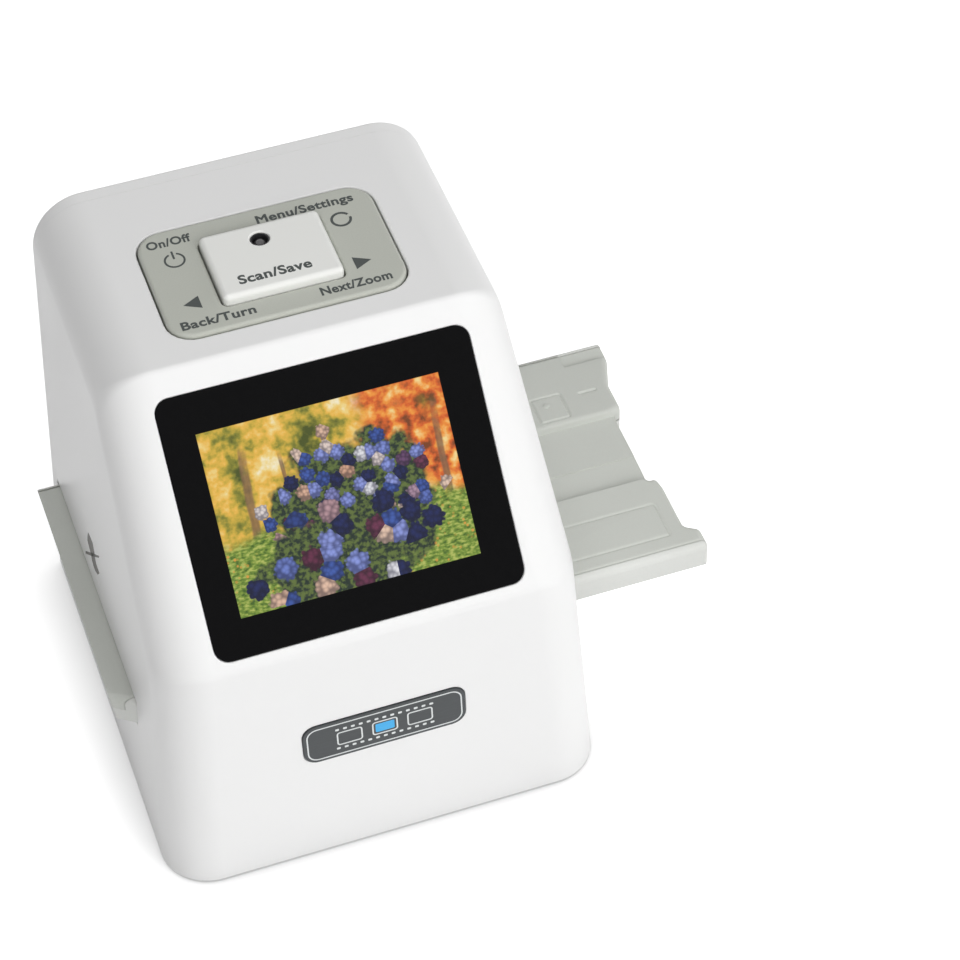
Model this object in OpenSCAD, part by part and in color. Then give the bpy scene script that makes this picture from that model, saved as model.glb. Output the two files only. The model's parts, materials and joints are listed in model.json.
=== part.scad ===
// Film negative scanner: a tabletop body with a screen and keypad, and a film adapter that
// slides through it from side to side. X runs along the film, +Y to the rear, +Z up.
// The origin is on the table, in the middle of the middle foot.

/* [Body] */
// Width across the side walls at the table
body_w = 94.2; // [92:0.2:100]
// Width across the side walls at the top face
body_top_w = 81.8; // [80:0.2:84]
// Depth from the foot of the front to the foot of the rear wall
body_d = 98.3; // [98:0.1:99]
// Distance from the middle foot to the foot of the front
front_reach = 48.2; // [48:0.1:48.4]
// Height of the top face above the table
body_h = 106.3; // [106:0.1:110]
// Height of the ridge under the screen
ridge_h = 60.2; // [60:0.1:61]
// Setback of the ridge behind the foot of the front
ridge_setback = 2.5; // [2:0.1:3]
// Setback of the brow above the screen
brow_setback = 41.3; // [41:0.1:42]
// Lean of the rear wall over its height
rear_lean = 1.5; // [1:0.1:2]
// Radius of the rims along the side walls
rim_r = 10.5; // [10:0.5:11.5]
// Radius of the rear wall's upright edges
rear_rim = 0.8; // [0.6:0.1:1]
// Radius of the ridge, the brow and the rear top edge
edge_r = [3, 1.6, 0.8]; // [0.6:0.1:4]
// Wall thickness of the shells
wall = 2.2; // [2:0.1:2.4]
// Gap between the body's lower edge and the table
lift = 0.8; // [0.6:0.1:1]
// Depth of the rear cover's rim, ahead of the rear wall's foot
cover_rim = 4.9; // [4.7:0.1:5.1]

/* [Screen] */
// Width, height, thickness and corner radius of the display window
window = [63.2, 52.2, 1.6, 3]; // [1:0.1:64]
// Distance of the window's centre below the middle of the screen face
window_drop = 1.6; // [1:0.1:2]
// Width, height and thickness of the display module
lcd = [60.3, 42.7, 2.9]; // [2:0.1:61]
// Width and height of the opening behind the window
view = [51, 38.8]; // [38:0.1:52]
// Thickness of the ledge that carries the window and the display
ledge_t = 2.4; // [2:0.1:3]

/* [Nameplate] */
// Width, height and thickness of the plate on the lower front
nameplate_size = [34.2, 10.6, 0.8]; // [0.6:0.1:36]
// Height of its centre above the table
nameplate_h = 33.6; // [30:0.1:36]
// How far it stands out of the front
nameplate_proud = 0.3; // [0.2:0.1:0.5]

/* [Keypad] */
// Width, depth and corner radius of the rocking pad
pad = [48.6, 31.4, 5.5]; // [5:0.1:50]
// Distance of the pad's centre behind the foot of the front
pad_back = 63.2; // [62:0.1:64]
// How far the pad stands above the top face
pad_proud = 0.5; // [0.2:0.1:0.8]
// Width, depth and corner radius of the centre key
key = [24.6, 19, 1.2]; // [1:0.1:26]
// How far the key stands above the pad
key_proud = 1.8; // [1.6:0.1:2]
// Downward travel of the key
key_travel = 0.7; // [0.5:0.1:0.8]
// Rocking angle of the pad each way about each axis
rock = 1.2; // [0.8:0.1:1.4]
// Diameter of the lamp's hole in the key
lamp_hole = 4; // [3.8:0.1:4.2]
// Diameter of the rocker's pins
pin_d = 1.2; // [1:0.1:1.2]

/* [Film adapter] */
// Length along the film
adapter_l = 129.5; // [126:0.5:132]
// Width across the film
adapter_w = 64.4; // [64:0.1:65]
// Thickness of the closed adapter
adapter_t = 6.5; // [6.4:0.1:6.6]
// Height of its underside above the table
adapter_h = 25.5; // [25.4:0.1:25.8]
// How far its left end lies from the middle of the body
adapter_left = 49.5; // [48:0.5:52]
// Distance of the film's middle line behind the foot of the front
axis_back = 58.8; // [58.6:0.1:59]
// Width of the film and its running slot
film_w = 35.3; // [35.2:0.1:35.6]
// Length and width of the picture window over the film
gate = [36.6, 24.6]; // [24:0.1:38]
// Width of the open channel in the cover, and its depth
channel = [21.6, 1.6]; // [1:0.1:22]
// Depth of the finger notch in the right end, at the rear of the channel
notch = 4.6; // [4.4:0.1:6]

/* [Optics] */
// Width and depth of the tower over the film
tower = [46, 36]; // [36:1:46]
// Height of the tower's top above the table
tower_top = 72; // [71:1:72]
// Outer diameter of the lens barrel
barrel_d = 14; // [12:0.5:14]
// Width, depth and height of the light box
light_box = [54, 44, 17]; // [16:1:54]

/* [Fasteners] */
// Diameters of the shank, the head and the boss of the case screws
case_screw = [2.6, 4.8, 6.8]; // [2:0.1:7]
// Diameters of the shank and the head of the small screws
small_screw = [1.6, 3, 4.4]; // [1:0.1:5]
// Diameter and height of the rubber feet
foot = [9, 1.6]; // [1:0.1:10]

/* [Hidden] */

$fn = 48;
eps = 0.01;                      // overlap that joins two solids of one piece
past = 1;                        // how far a cutter runs past the face it opens
fit = 0.05;                      // radial running clearance of pins and screws
gap = 0.35;                      // clearance around pieces that move past each other
face = 0.2;                      // clearance between pieces that stay put
rim_steps = 7;                   // facets across a quarter of a rim
arc_steps = 3;                   // facets around an edge
edge_growth = 0.55;              // how an edge's radius grows with the inset of its legs
rod_steps = 16;                  // facets around a wire
rod_joint = 1.08;                // diameter of a wire's joints, against the wire's own

board_t = 1.2;                   // thickness of a circuit board
board_r = 2;                     // corner radius of a circuit board
bite = 0.6;                      // how far a rib or a stem runs into what it ties
head_t = [1.2, 1];               // thickness of a case screw's and a small screw's head
head_sink = 1.4;                 // depth of the case screws' heads under the faces
front_y = -front_reach;
rear_y = body_d - front_reach;
axis_y = front_y + axis_back;    // the film's middle line and the optical axis
pad_y = front_y + pad_back;
seam_y = rear_y - cover_rim;     // where the housing meets the rear cover
ceiling = body_h - wall;         // inner face of the top wall

white = [0.95, 0.95, 0.94];
grey = [0.66, 0.68, 0.64];
pale_grey = [0.73, 0.75, 0.71];
black = [0.06, 0.06, 0.065];
board_green = [0.05, 0.3, 0.16];
steel = [0.7, 0.7, 0.72];
charcoal = [0.2, 0.22, 0.23];
amber = [0.85, 0.6, 0.3];

// ---------- outline of the body ----------

foot_front = [front_y, 0];
foot_rear = [rear_y, 0];
ridge = [front_y + ridge_setback, ridge_h];
brow = [front_y + brow_setback, body_h];
rear_top = [rear_y - rear_lean, body_h];

function unit(v) = v / norm(v);

// Half of the angle between two legs of a corner
function half_angle(u, v) = acos(u * v) / 2;

// The point inside the corner a-b-c that lies t from its first leg and s from its second
function inset_corner(a, b, c, t, s) =
    let (u = unit(a - b), v = unit(c - b))
    b + (u * s + v * t) / sin(2 * half_angle(u, v));

// The arc of radius r that touches both legs of the corner a-b-c
function corner_arc(a, b, c, r) =
    let (u = unit(a - b), v = unit(c - b), half = half_angle(u, v), sweep = 180 - 2 * half,
         centre = b + unit(u + v) * r / sin(half),
         first = b + u * r / tan(half) - centre,
         last = b + v * r / tan(half) - centre)
    [for (i = [0:arc_steps])
        centre + (first * sin(sweep * (1 - i / arc_steps)) + last * sin(sweep * i / arc_steps))
                 / sin(sweep)];

// Where the line through p along v reaches the height z
function at_height(p, v, z) = p + v * (z - p[1]) / v[1];

// The body's side view, moved in by t and at the rear by s, and open at the height z at its foot
function side_view(t, s, z) =
    let (a = inset_corner(foot_front, ridge, brow, t, t),
         b = inset_corner(ridge, brow, rear_top, t, t),
         c = inset_corner(brow, rear_top, foot_rear, t, s),
         low = at_height(a, foot_front - ridge, z),
         low_rear = at_height(c, foot_rear - rear_top, z),
         soft = edge_r + [t, t, s] * edge_growth)
    concat([low], corner_arc(low, a, b, soft[0]), corner_arc(a, b, c, soft[1]),
           corner_arc(b, c, low_rear, soft[2]), [low_rear]);

// Half of the body's width at the height z: the side walls lean inwards
function half_width(z) = (body_w - (body_w - body_top_w) * z / body_h) / 2;

// The rear wall's Y at the height z
function rear_face(z) = rear_y - rear_lean * z / body_h;

// One ring of the body's surface, at the angle a around the rim
function ring(side, t, a, z) =
    let (r = rim_r - t, rear_r = max(rear_rim - t, rear_rim / 2))
    [for (p = side_view(t + r * (1 - cos(a)), t + rear_r * (1 - cos(a)), z))
        [side * (half_width(p[1]) - t - r + r * sin(a)), p[0], p[1]]];

// The body as one solid, moved in by t, with its foot at the height z
module body_solid(t, z) {
    angles = [for (i = [0:rim_steps]) 90 * i / rim_steps];
    rings = concat([for (a = angles) ring(-1, t, 90 - a, z)],
                   [for (a = angles) ring(1, t, a, z)]);
    n = len(rings[0]);
    last = (len(rings) - 1) * n;
    polyhedron(
        points = [for (one = rings) each one],
        faces = concat(
            [[for (j = [0:n - 1]) n - 1 - j]],
            [for (i = [0:len(rings) - 2], j = [0:n - 1], half = [0, 1])
                let (a = i * n + j, b = i * n + (j + 1) % n)
                half == 0 ? [a, b, b + n] : [a, b + n, a + n]],
            [[for (j = [0:n - 1]) last + j]]));
}

// ---------- helpers ----------

// A block between two limits on each axis
module span(x, y, z) {
    translate([x[0], y[0], z[0]])
        cube([x[1] - x[0], y[1] - y[0], z[1] - z[0]]);
}

// A plate with round corners, centred in X and Y, standing on Z = 0
module rounded_plate(w, d, t, r) {
    linear_extrude(t) {
        square([w - 2 * r, d], center = true);
        square([w, d - 2 * r], center = true);
        for (x = [-1, 1], y = [-1, 1])
            translate([x * (w / 2 - r), y * (d / 2 - r)]) circle(r);
    }
}

// A frame with round corners, standing on Z = 0
module rounded_frame(outer, inner, t, r) {
    difference() {
        rounded_plate(outer[0], outer[1], t, r);
        translate([0, 0, -eps]) rounded_plate(inner[0], inner[1], t + 2 * eps, r);
    }
}

// The four corners of a rectangle about the point [x, y]
module four(x, y, dx, dy) {
    for (i = [-1, 1], j = [-1, 1])
        translate([x + i * dx, y + j * dy, 0]) children();
}

// A case screw or a small screw, its head above Z = 0 and its shank below
module screw(sizes, l) {
    cylinder(d = sizes[1], h = sizes == case_screw ? head_t[0] : head_t[1]);
    translate([0, 0, -l]) cylinder(d = sizes[0], h = l + eps);
}

// Diameters of the holes that a screw is driven into, passes through and sinks its head in
function bore_d(sizes) = sizes[0] + 2 * fit;
function hole_d(sizes) = sizes[0] + 0.3;
function sink_d(sizes) = sizes[1] + 0.5;

// A boss with a bore for a screw, standing on Z = 0
module boss(sizes, h) {
    difference() {
        cylinder(d = sizes[2], h = h);
        translate([0, 0, -eps]) cylinder(d = bore_d(sizes), h = h + 2 * eps);
    }
}

// A rod between two points, with a round joint at its start
module rod(a, b, d) {
    v = b - a;
    translate(a) {
        sphere(d = rod_joint * d, $fn = rod_steps);
        rotate([0, acos(v[2] / norm(v)), atan2(v[1], v[0])])
            cylinder(d = d, h = norm(v), $fn = rod_steps);
    }
}

// A flat ribbon of width w about x, along points in the YZ plane
module ribbon(path, shift, x, w) {
    back = [for (i = [len(path) - 1:-1:0]) path[i] + shift];
    translate([x - w / 2, 0, 0])
        rotate([90, 0, 90])
            linear_extrude(w) polygon(concat(path, back));
}

// ---------- screen face ----------

screen_a = atan2(body_h - ridge_h, brow_setback - ridge_setback);
screen_mid = (ridge + brow) / 2 - window_drop * [cos(screen_a), sin(screen_a)];
window_sink = 0.05;              // the window lies just under the face
ledge_z = -window_sink - window[2];
lcd_z = ledge_z - ledge_t;       // front face of the display module
frame_z = lcd_z - lcd[2] - face; // front face of the frame behind it
frame_t = 1.6;
frame_r = 2;                     // corner radius of the frame
frame_screw_l = 4.4;
lcd_r = 1;                       // corner radius of the module and of the opening before it
frame_size = [71, 48];
frame_view = [50, 32];
frame_screw = [33.4, 19];        // distance of the frame's screws from its middle
lcd_shift = [-0.6, -0.2];

// Places children on the screen face: Y runs up the screen and Z out of it
module on_screen() {
    translate([0, screen_mid[0], screen_mid[1]]) rotate([screen_a, 0, 0]) children();
}

module display_window() {
    color(black)
        on_screen() translate([0, 0, ledge_z])
            rounded_plate(window[0], window[1], window[2], window[3]);
}

module lcd_module() {
    color(charcoal)
        on_screen() translate([lcd_shift[0], lcd_shift[1], lcd_z - lcd[2]])
            rounded_plate(lcd[0], lcd[1], lcd[2], lcd_r);
}

module lcd_frame() {
    color(black)
        on_screen() translate([0, 0, frame_z - frame_t])
            difference() {
                rounded_frame(frame_size, frame_view, frame_t, frame_r);
                four(0, 0, frame_screw[0], frame_screw[1])
                    translate([0, 0, -eps])
                        cylinder(d = bore_d(small_screw), h = frame_t + 2 * eps);
            }
}

module lcd_screws() {
    color(steel)
        on_screen() translate([0, 0, frame_z - frame_t])
            four(0, 0, frame_screw[0], frame_screw[1])
                rotate([180, 0, 0]) screw(small_screw, frame_screw_l);
}

// ---------- film guide levels ----------

guide_floor_z = adapter_h - 0.4;             // top of the guide's floor
guide_z = 20;                                // underside of the guide
adapter_top = adapter_h + adapter_t;
plate_z = adapter_top + 0.4;                 // underside of the pressure plate
plate_t = 2;
guide_half = 38;                             // half length of the guide along X
adapter_y = [axis_y - adapter_w / 2, axis_y + adapter_w / 2];
guide_rim = [5, 1.8];                        // width of the guide's front and rear walls
guide_y = [adapter_y[0] - guide_rim[0], adapter_y[1] + guide_rim[1]];
gate_hole = [42, 30, 2];                     // light opening in the guide, and its corners
post = [33, 22];                             // guide posts, from the optical axis
post_d = 6.4;

// ---------- housing ----------

case_boss = [37, 39];            // base screw bosses, from the middle
case_boss_h = 12;
boss_z = lift + wall;            // top of the base cover, where the bosses stand
rear_boss = [[29.8, 50], [24, 96.4]];        // X and Z of the rear cover's bosses
rear_boss_l = 8;
rib_t = 2;                       // thickness of the ribs that tie the bosses to the walls
rib_l = 4;                       // length of the ribs on the rear bosses
pad_screw = [29.6, 11.4];        // key board screws, from the pad's centre
key_board_z = 97;
key_board_top = key_board_z + board_t;
main_board_z = 87;
lug = [31, 6, 4];                // inner end, width and height of a board lug
lug_y = [-2, 36];
lug_screw_x = 34.5;
ledge = [68, 53];                // width and height of the ledge behind the window
mark = [10, 6, 0.4];             // length, breadth and depth of the cross on the left wall
mark_line = [1, 19, 0.3];        // width of its arms, length and width of the line through it
mark_mid = [10.2, 42];           // its Y and Z
mark_turn = 33;                  // angle of its long arm
wall_lean = atan2((body_w - body_top_w) / 2, body_h);
nameplate_r = 3;                 // corner radius of the nameplate

// Y of the end of a rear boss: the rear cover's inner face at the top of the boss
function boss_end(b) = rear_face(b[1] + case_screw[2] / 2) - wall - eps;

// A rib from x out to the side wall, between two limits in Y and in Z
module side_rib(side, x, y, z) {
    ends = [side * x, side * (half_width(z[1]) - bite)];
    span([min(ends), max(ends)], y, z);
}

module housing_bosses() {
    boss_r = case_screw[2] / 2;
    four(0, 0, case_boss[0], case_boss[1])
        translate([0, 0, boss_z]) boss(case_screw, case_boss_h);
    for (side = [-1, 1], y = [-case_boss[1], case_boss[1]])
        side_rib(side, case_boss[0] + boss_r - bite, [y - rib_t / 2, y + rib_t / 2],
                 [boss_z, boss_z + case_boss_h]);
    for (side = [-1, 1], b = rear_boss)
        translate([side * b[0], boss_end(b), b[1]]) rotate([90, 0, 0]) boss(case_screw, rear_boss_l);
    low = rear_boss[0];
    high = rear_boss[1];
    low_y = boss_end(low) - rear_boss_l;
    high_y = boss_end(high) - rear_boss_l;
    for (side = [-1, 1]) {
        side_rib(side, low[0] + boss_r - bite, [low_y, low_y + rib_l],
                 [low[1] - rib_t / 2, low[1] + rib_t / 2]);
        span([side * high[0] - rib_t / 2, side * high[0] + rib_t / 2], [high_y, high_y + rib_l],
             [high[1] + boss_r - bite, ceiling + bite]);
    }
    four(0, pad_y, pad_screw[0], pad_screw[1])
        translate([0, 0, key_board_top]) boss(small_screw, ceiling - key_board_top + bite);
    for (side = [-1, 1], y = lug_y)
        difference() {
            side_rib(side, lug[0], [y - lug[1] / 2, y + lug[1] / 2],
                     [main_board_z - lug[2], main_board_z]);
            translate([side * lug_screw_x, y, main_board_z - lug[2] - eps])
                cylinder(d = bore_d(small_screw), h = lug[2] + 2 * eps);
        }
    on_screen() four(0, 0, frame_screw[0], frame_screw[1])
        translate([0, 0, frame_z]) boss(small_screw, ledge_z - frame_z);
}

module window_cut() {
    on_screen() {
        translate([0, 0, ledge_z])
            rounded_plate(window[0] + face, window[1] + face, 2 * window[2], window[3]);
        translate([lcd_shift[0], lcd_shift[1], lcd_z - past])
            rounded_plate(view[0], view[1], ledge_t + window[2] + 2 * past, lcd_r);
    }
}

// The slot that the adapter runs through, across both side walls
module adapter_slot() {
    span([-body_w, body_w], [adapter_y[0] - gap, adapter_y[1] + gap],
         [guide_floor_z, plate_z]);
}

// A shallow cross on the left wall, over the slot
module wall_mark() {
    translate([-half_width(mark_mid[1]), mark_mid[0], mark_mid[1]])
        rotate([0, wall_lean, 0]) rotate([mark_turn, 0, 0]) {
            cube([2 * mark[2], mark[0], mark_line[0]], center = true);
            cube([2 * mark[2], mark_line[0], mark[1]], center = true);
            cube([mark[2], mark_line[1], mark_line[2]], center = true);
        }
}

module nameplate_seat(extra) {
    lean = atan2(ridge_setback, ridge_h);
    translate([0, front_y + ridge_setback * nameplate_h / ridge_h, nameplate_h])
        rotate([90 - lean, 0, 0])
            translate([0, 0, nameplate_proud - nameplate_size[2]])
                rounded_plate(nameplate_size[0] + extra, nameplate_size[1] + extra,
                              nameplate_size[2], nameplate_r);
}

// The room of the rear cover, behind the seam
module behind_seam() {
    span([-body_w, body_w], [seam_y, rear_y + past], [0, body_h + past]);
}

module housing() {
    color(white)
        difference() {
            union() {
                difference() {
                    body_solid(0, lift);
                    body_solid(wall, lift - past);
                    behind_seam();
                }
                on_screen() translate([0, 0, lcd_z])
                    rounded_plate(ledge[0], ledge[1], ledge_t + eps, window[3]);
                housing_bosses();
            }
            window_cut();
            translate([0, pad_y, ceiling - past])
                rounded_plate(pad[0] + 2 * gap, pad[1] + 2 * gap, wall + 2 * past, pad[2] + gap);
            adapter_slot();
            wall_mark();
            nameplate_seat(face);
        }
}

module nameplate() {
    color(charcoal) nameplate_seat(0);
}

// ---------- rear cover and its sockets ----------

usb_x = -24;
jack_x = -11;
card_x = 14;
usb = [7.8, 9.2, 4];
jack = [6.6, 12, 5];
jack_bore = 3.6;
card = [26, 27.6, 2.9];
socket_in = 0.9;                 // how far the sockets' mouths lie inside the rear face
socket_t = [0.4, 1];             // thickness of a socket's shell and of its back
main_board_t = 1.6;
board_top = main_board_z + main_board_t;
socket_y = rear_face(board_top) - socket_in;

// The opening of a socket in the rear cover
module socket_hole(x, size) {
    span([x - size[0] / 2 - gap, x + size[0] / 2 + gap], [seam_y, rear_y + past],
         [board_top - gap, board_top + size[2] + gap]);
}

// The outside of a socket on the main board
module socket_body(x, size) {
    span([x - size[0] / 2, x + size[0] / 2], [socket_y - size[1], socket_y],
         [board_top, board_top + size[2]]);
}

// A socket of sheet metal, open to the rear
module metal_socket(x, size) {
    color(steel)
        difference() {
            socket_body(x, size);
            span([x - size[0] / 2 + socket_t[0], x + size[0] / 2 - socket_t[0]],
                 [socket_y - size[1] + socket_t[1], socket_y + past],
                 [board_top + socket_t[0], board_top + size[2] - socket_t[0]]);
        }
}

module rear_cover() {
    color(white)
        difference() {
            intersection() {
                difference() {
                    body_solid(0, lift);
                    body_solid(wall, lift - past);
                }
                behind_seam();
            }
            for (x = [-1, 1], b = rear_boss)
                translate([x * b[0], rear_face(b[1]), b[1]]) rotate([-90, 0, 0]) {
                    translate([0, 0, -wall - past])
                        cylinder(d = hole_d(case_screw), h = wall + 2 * past);
                    translate([0, 0, -head_sink])
                        cylinder(d = sink_d(case_screw), h = head_sink + past);
                }
            socket_hole(usb_x, usb);
            socket_hole(card_x, card);
            socket_hole(jack_x, jack);
        }
}

module rear_screws() {
    color(steel)
        for (x = [-1, 1], b = rear_boss)
            translate([x * b[0], rear_face(b[1]) - head_sink, b[1]]) rotate([-90, 0, 0])
                screw(case_screw, rear_boss_l);
}

module usb_socket() {
    metal_socket(usb_x, usb);
}

module card_slot() {
    metal_socket(card_x, card);
}

module video_jack() {
    color(black)
        difference() {
            socket_body(jack_x, jack);
            translate([jack_x, socket_y + eps, board_top + jack[2] / 2])
                rotate([90, 0, 0]) cylinder(d = jack_bore, h = jack[1] - socket_t[1]);
        }
}

// ---------- base ----------

foot_at = [30, 31];              // corner feet, from the middle foot
post_bore = 8;                   // depth of the bores in the guide posts
base_screw_l = 9;

// The places of the five feet: four corners and the middle
module feet_places() {
    four(0, 0, foot_at[0], foot_at[1]) children();
    children();
}

module base_cover() {
    color(white)
        difference() {
            union() {
                intersection() {
                    body_solid(wall + face, lift);
                    span([-body_w, body_w], [front_y, rear_y], [lift, boss_z]);
                }
                four(0, axis_y, post[0], post[1])
                    translate([0, 0, lift + eps]) cylinder(d = post_d, h = guide_z - lift - eps);
            }
            four(0, axis_y, post[0], post[1])
                translate([0, 0, guide_z - post_bore])
                    cylinder(d = bore_d(case_screw), h = post_bore + past);
            four(0, 0, case_boss[0], case_boss[1]) {
                cylinder(d = hole_d(case_screw), h = boss_z + past);
                cylinder(d = sink_d(case_screw), h = lift + head_sink);
            }
            feet_places() cylinder(d = foot[0] + 2 * fit, h = foot[1]);
        }
}

module rubber_feet() {
    color(charcoal)
        feet_places() cylinder(d = foot[0], h = foot[1]);
}

module base_screws() {
    color(steel)
        four(0, 0, case_boss[0], case_boss[1])
            translate([0, 0, lift + head_sink]) rotate([180, 0, 0])
                screw(case_screw, base_screw_l);
}

// ---------- light under the film ----------

box_z = boss_z;
box_wall = 1.5;
box_floor = 1.2;
wire_notch = [8, 4];             // width and height of the notch for the wires, over the board
light_board_z = box_z + box_floor;
led = [5, 2];                    // diameter and height
led_pitch = [14, 11];
diffuser_t = 2;
diffuser_r = 0.5;
diffuser_z = box_z + light_box[2] - diffuser_t;

module light_box() {
    color(white)
        translate([0, axis_y, box_z])
            difference() {
                translate([0, 0, light_box[2] / 2]) cube(light_box, center = true);
                translate([0, 0, light_box[2] / 2 + box_floor])
                    cube([light_box[0] - 2 * box_wall, light_box[1] - 2 * box_wall, light_box[2]],
                         center = true);
                translate([0, 0, light_box[2] - diffuser_t])
                    rounded_plate(light_box[0] - box_wall, light_box[1] - box_wall,
                                  diffuser_t + past, diffuser_r);
                translate([0, -light_box[1] / 2, box_floor + board_t + wire_notch[1] / 2])
                    cube([wire_notch[0], 3 * box_wall, wire_notch[1]], center = true);
            }
}

module light_board() {
    color(board_green)
        translate([0, axis_y, light_board_z])
            rounded_plate(light_box[0] - 2 * box_wall - 2 * face,
                          light_box[1] - 2 * box_wall - 2 * face, board_t, board_r);
}

module light_leds() {
    color("white")
        for (i = [-1:1], j = [-1:1])
            translate([i * led_pitch[0], axis_y + j * led_pitch[1], light_board_z + board_t])
                cylinder(d = led[0], h = led[1]);
}

module diffuser() {
    color("white")
        translate([0, axis_y, diffuser_z])
            rounded_plate(light_box[0] - box_wall - face, light_box[1] - box_wall - face,
                          diffuser_t, diffuser_r);
}

// ---------- film guide, plate and tower ----------

detent_in = 7;                   // the detent groove, from the adapter's front edge
detent_y = adapter_y[0] + detent_in;
detent = [16, 5, 0.5];           // length, width and thickness of the leaf
detent_x = 20;
nose = [0.7, 2, 0.5];            // the nose's height and width, and the depth of its centre
guide_screw_x = 30;
guide_screw_y = guide_y[0] + guide_rim[0] / 2;
guide_screw_l = 10;
guide_sink = 2;                  // depth of the guide screws' heads under the guide's floor
plate_screw_l = 6;

// A hole of diameter d along Z between two heights
module hole(d, z) {
    translate([0, 0, z[0]]) cylinder(d = d, h = z[1] - z[0]);
}

// The light opening between two heights
module gate_opening(z) {
    translate([0, axis_y, z[0]])
        rounded_plate(gate_hole[0], gate_hole[1], z[1] - z[0], gate_hole[2]);
}

module film_guide() {
    color(black)
        difference() {
            span([-guide_half, guide_half], guide_y, [guide_z, plate_z]);
            span([-guide_half - past, guide_half + past], [adapter_y[0] - gap, adapter_y[1] + gap],
                 [guide_floor_z, plate_z + past]);
            gate_opening([guide_z - past, plate_z]);
            four(0, axis_y, post[0], post[1]) {
                hole(hole_d(case_screw), [guide_z - past, plate_z]);
                hole(sink_d(case_screw), [guide_floor_z - guide_sink, plate_z]);
            }
            span([detent_x - detent[0] / 2 - face, detent_x + detent[0] / 2 + face],
                 [detent_y - detent[1] / 2 - face, detent_y + detent[1] / 2 + face],
                 [guide_floor_z - detent[2], guide_floor_z + past]);
            for (x = [-1, 1])
                translate([x * guide_screw_x, guide_screw_y, 0])
                    hole(bore_d(small_screw), [plate_z - plate_screw_l, plate_z + past]);
        }
}

module guide_screws() {
    color(steel)
        four(0, axis_y, post[0], post[1])
            translate([0, 0, guide_floor_z - guide_sink]) screw(case_screw, guide_screw_l);
}

// A sprung leaf whose nose runs in the groove under the adapter
module detent_spring() {
    color(steel) {
        translate([detent_x, detent_y, guide_floor_z - detent[2] / 2])
            cube(detent, center = true);
        translate([detent_x, detent_y + nose[1] / 2, guide_floor_z - eps])
            rotate([90, 0, 0])
                intersection() {
                    translate([0, -nose[2], 0]) cylinder(r = nose[0] + nose[2], h = nose[1]);
                    translate([-nose[1], 0, -past]) cube([2 * nose[1], nose[1], nose[1] + 2 * past]);
                }
    }
}

module pressure_plate() {
    through = [plate_z - past, plate_z + plate_t + past];
    color(black)
        difference() {
            span([-guide_half, guide_half], guide_y, [plate_z, plate_z + plate_t]);
            gate_opening(through);
            for (x = [-1, 1])
                translate([x * guide_screw_x, guide_screw_y, 0]) hole(hole_d(small_screw), through);
            four(0, axis_y, flange_screw[0], flange_screw[1]) hole(bore_d(small_screw), through);
        }
}

module plate_screws() {
    color(steel)
        for (x = [-1, 1])
            translate([x * guide_screw_x, guide_screw_y, plate_z + plate_t])
                screw(small_screw, plate_screw_l);
}

tower_z = plate_z + plate_t;
tower_wall = 1.6;
tower_roof = 2;
flange = [62, 46, 2, 3];         // width, depth, thickness and corner radius
flange_screw = [27.5, 15];
holder = [24, 24, 8, 2];         // width, depth, height and corner radius
holder_screw = [9.4, 9.4];
holder_seat = 2;                 // height of the holder screws' seats over the tower
holder_screw_l = 4;
sensor_z = tower_top + holder[2];

module optics_tower() {
    roof = [tower_top - tower_roof - past, tower_top + past];
    color(black)
        translate([0, axis_y, 0])
            difference() {
                union() {
                    span([-tower[0] / 2, tower[0] / 2], [-tower[1] / 2, tower[1] / 2],
                         [tower_z, tower_top]);
                    translate([0, 0, tower_z])
                        rounded_plate(flange[0], flange[1], flange[2], flange[3]);
                }
                span([-tower[0] / 2 + tower_wall, tower[0] / 2 - tower_wall],
                     [-tower[1] / 2 + tower_wall, tower[1] / 2 - tower_wall],
                     [tower_z - past, tower_top - tower_roof]);
                hole(barrel_d + 2 * fit, roof);
                four(0, 0, flange_screw[0], flange_screw[1])
                    hole(hole_d(small_screw), [tower_z - past, tower_z + flange[2] + past]);
                for (x = [-1, 1])
                    translate([x * holder_screw[0], x * holder_screw[1], 0])
                        hole(bore_d(small_screw), roof);
            }
}

module tower_screws() {
    color(steel)
        four(0, axis_y, flange_screw[0], flange_screw[1])
            translate([0, 0, tower_z + flange[2]]) screw(small_screw, flange[2] + plate_t);
}

module lens_holder() {
    color(black)
        translate([0, axis_y, tower_top])
            difference() {
                rounded_plate(holder[0], holder[1], holder[2], holder[3]);
                hole(barrel_d + 2 * fit, [-past, holder[2] + past]);
                for (x = [-1, 1]) {
                    translate([x * holder_screw[0], x * holder_screw[1], 0]) {
                        hole(hole_d(small_screw), [-past, holder[2]]);
                        hole(sink_d(small_screw), [holder_seat, holder[2] + past]);
                    }
                    translate([x * holder_screw[0], -x * holder_screw[1], 0])
                        hole(bore_d(small_screw), [holder_seat, holder[2] + past]);
                }
            }
}

module holder_screws() {
    color(steel)
        for (x = [-1, 1])
            translate([x * holder_screw[0], axis_y + x * holder_screw[1], tower_top + holder_seat])
                screw(small_screw, holder_screw_l);
}

barrel_in = 6;                   // how far the barrel reaches under the tower's top
barrel_gap = 2.4;                // room between the barrel and the sensor board
barrel_z = tower_top - barrel_in;
barrel_l = sensor_z - barrel_gap - barrel_z;
lens_d = 10;
lens_lip = 1;                    // width of the ledges behind the lenses
lens_seat = 3;                   // depth of the lens seats in the barrel's ends
lens_t = [2.4, 2];               // thickness of the lower and the upper lens

module lens_barrel() {
    color(charcoal)
        translate([0, axis_y, barrel_z])
            difference() {
                cylinder(d = barrel_d, h = barrel_l);
                hole(lens_d - 2 * lens_lip, [-past, barrel_l + past]);
                hole(lens_d + 2 * fit, [-past, lens_seat]);
                hole(lens_d + 2 * fit, [barrel_l - lens_seat, barrel_l + past]);
            }
}

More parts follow.
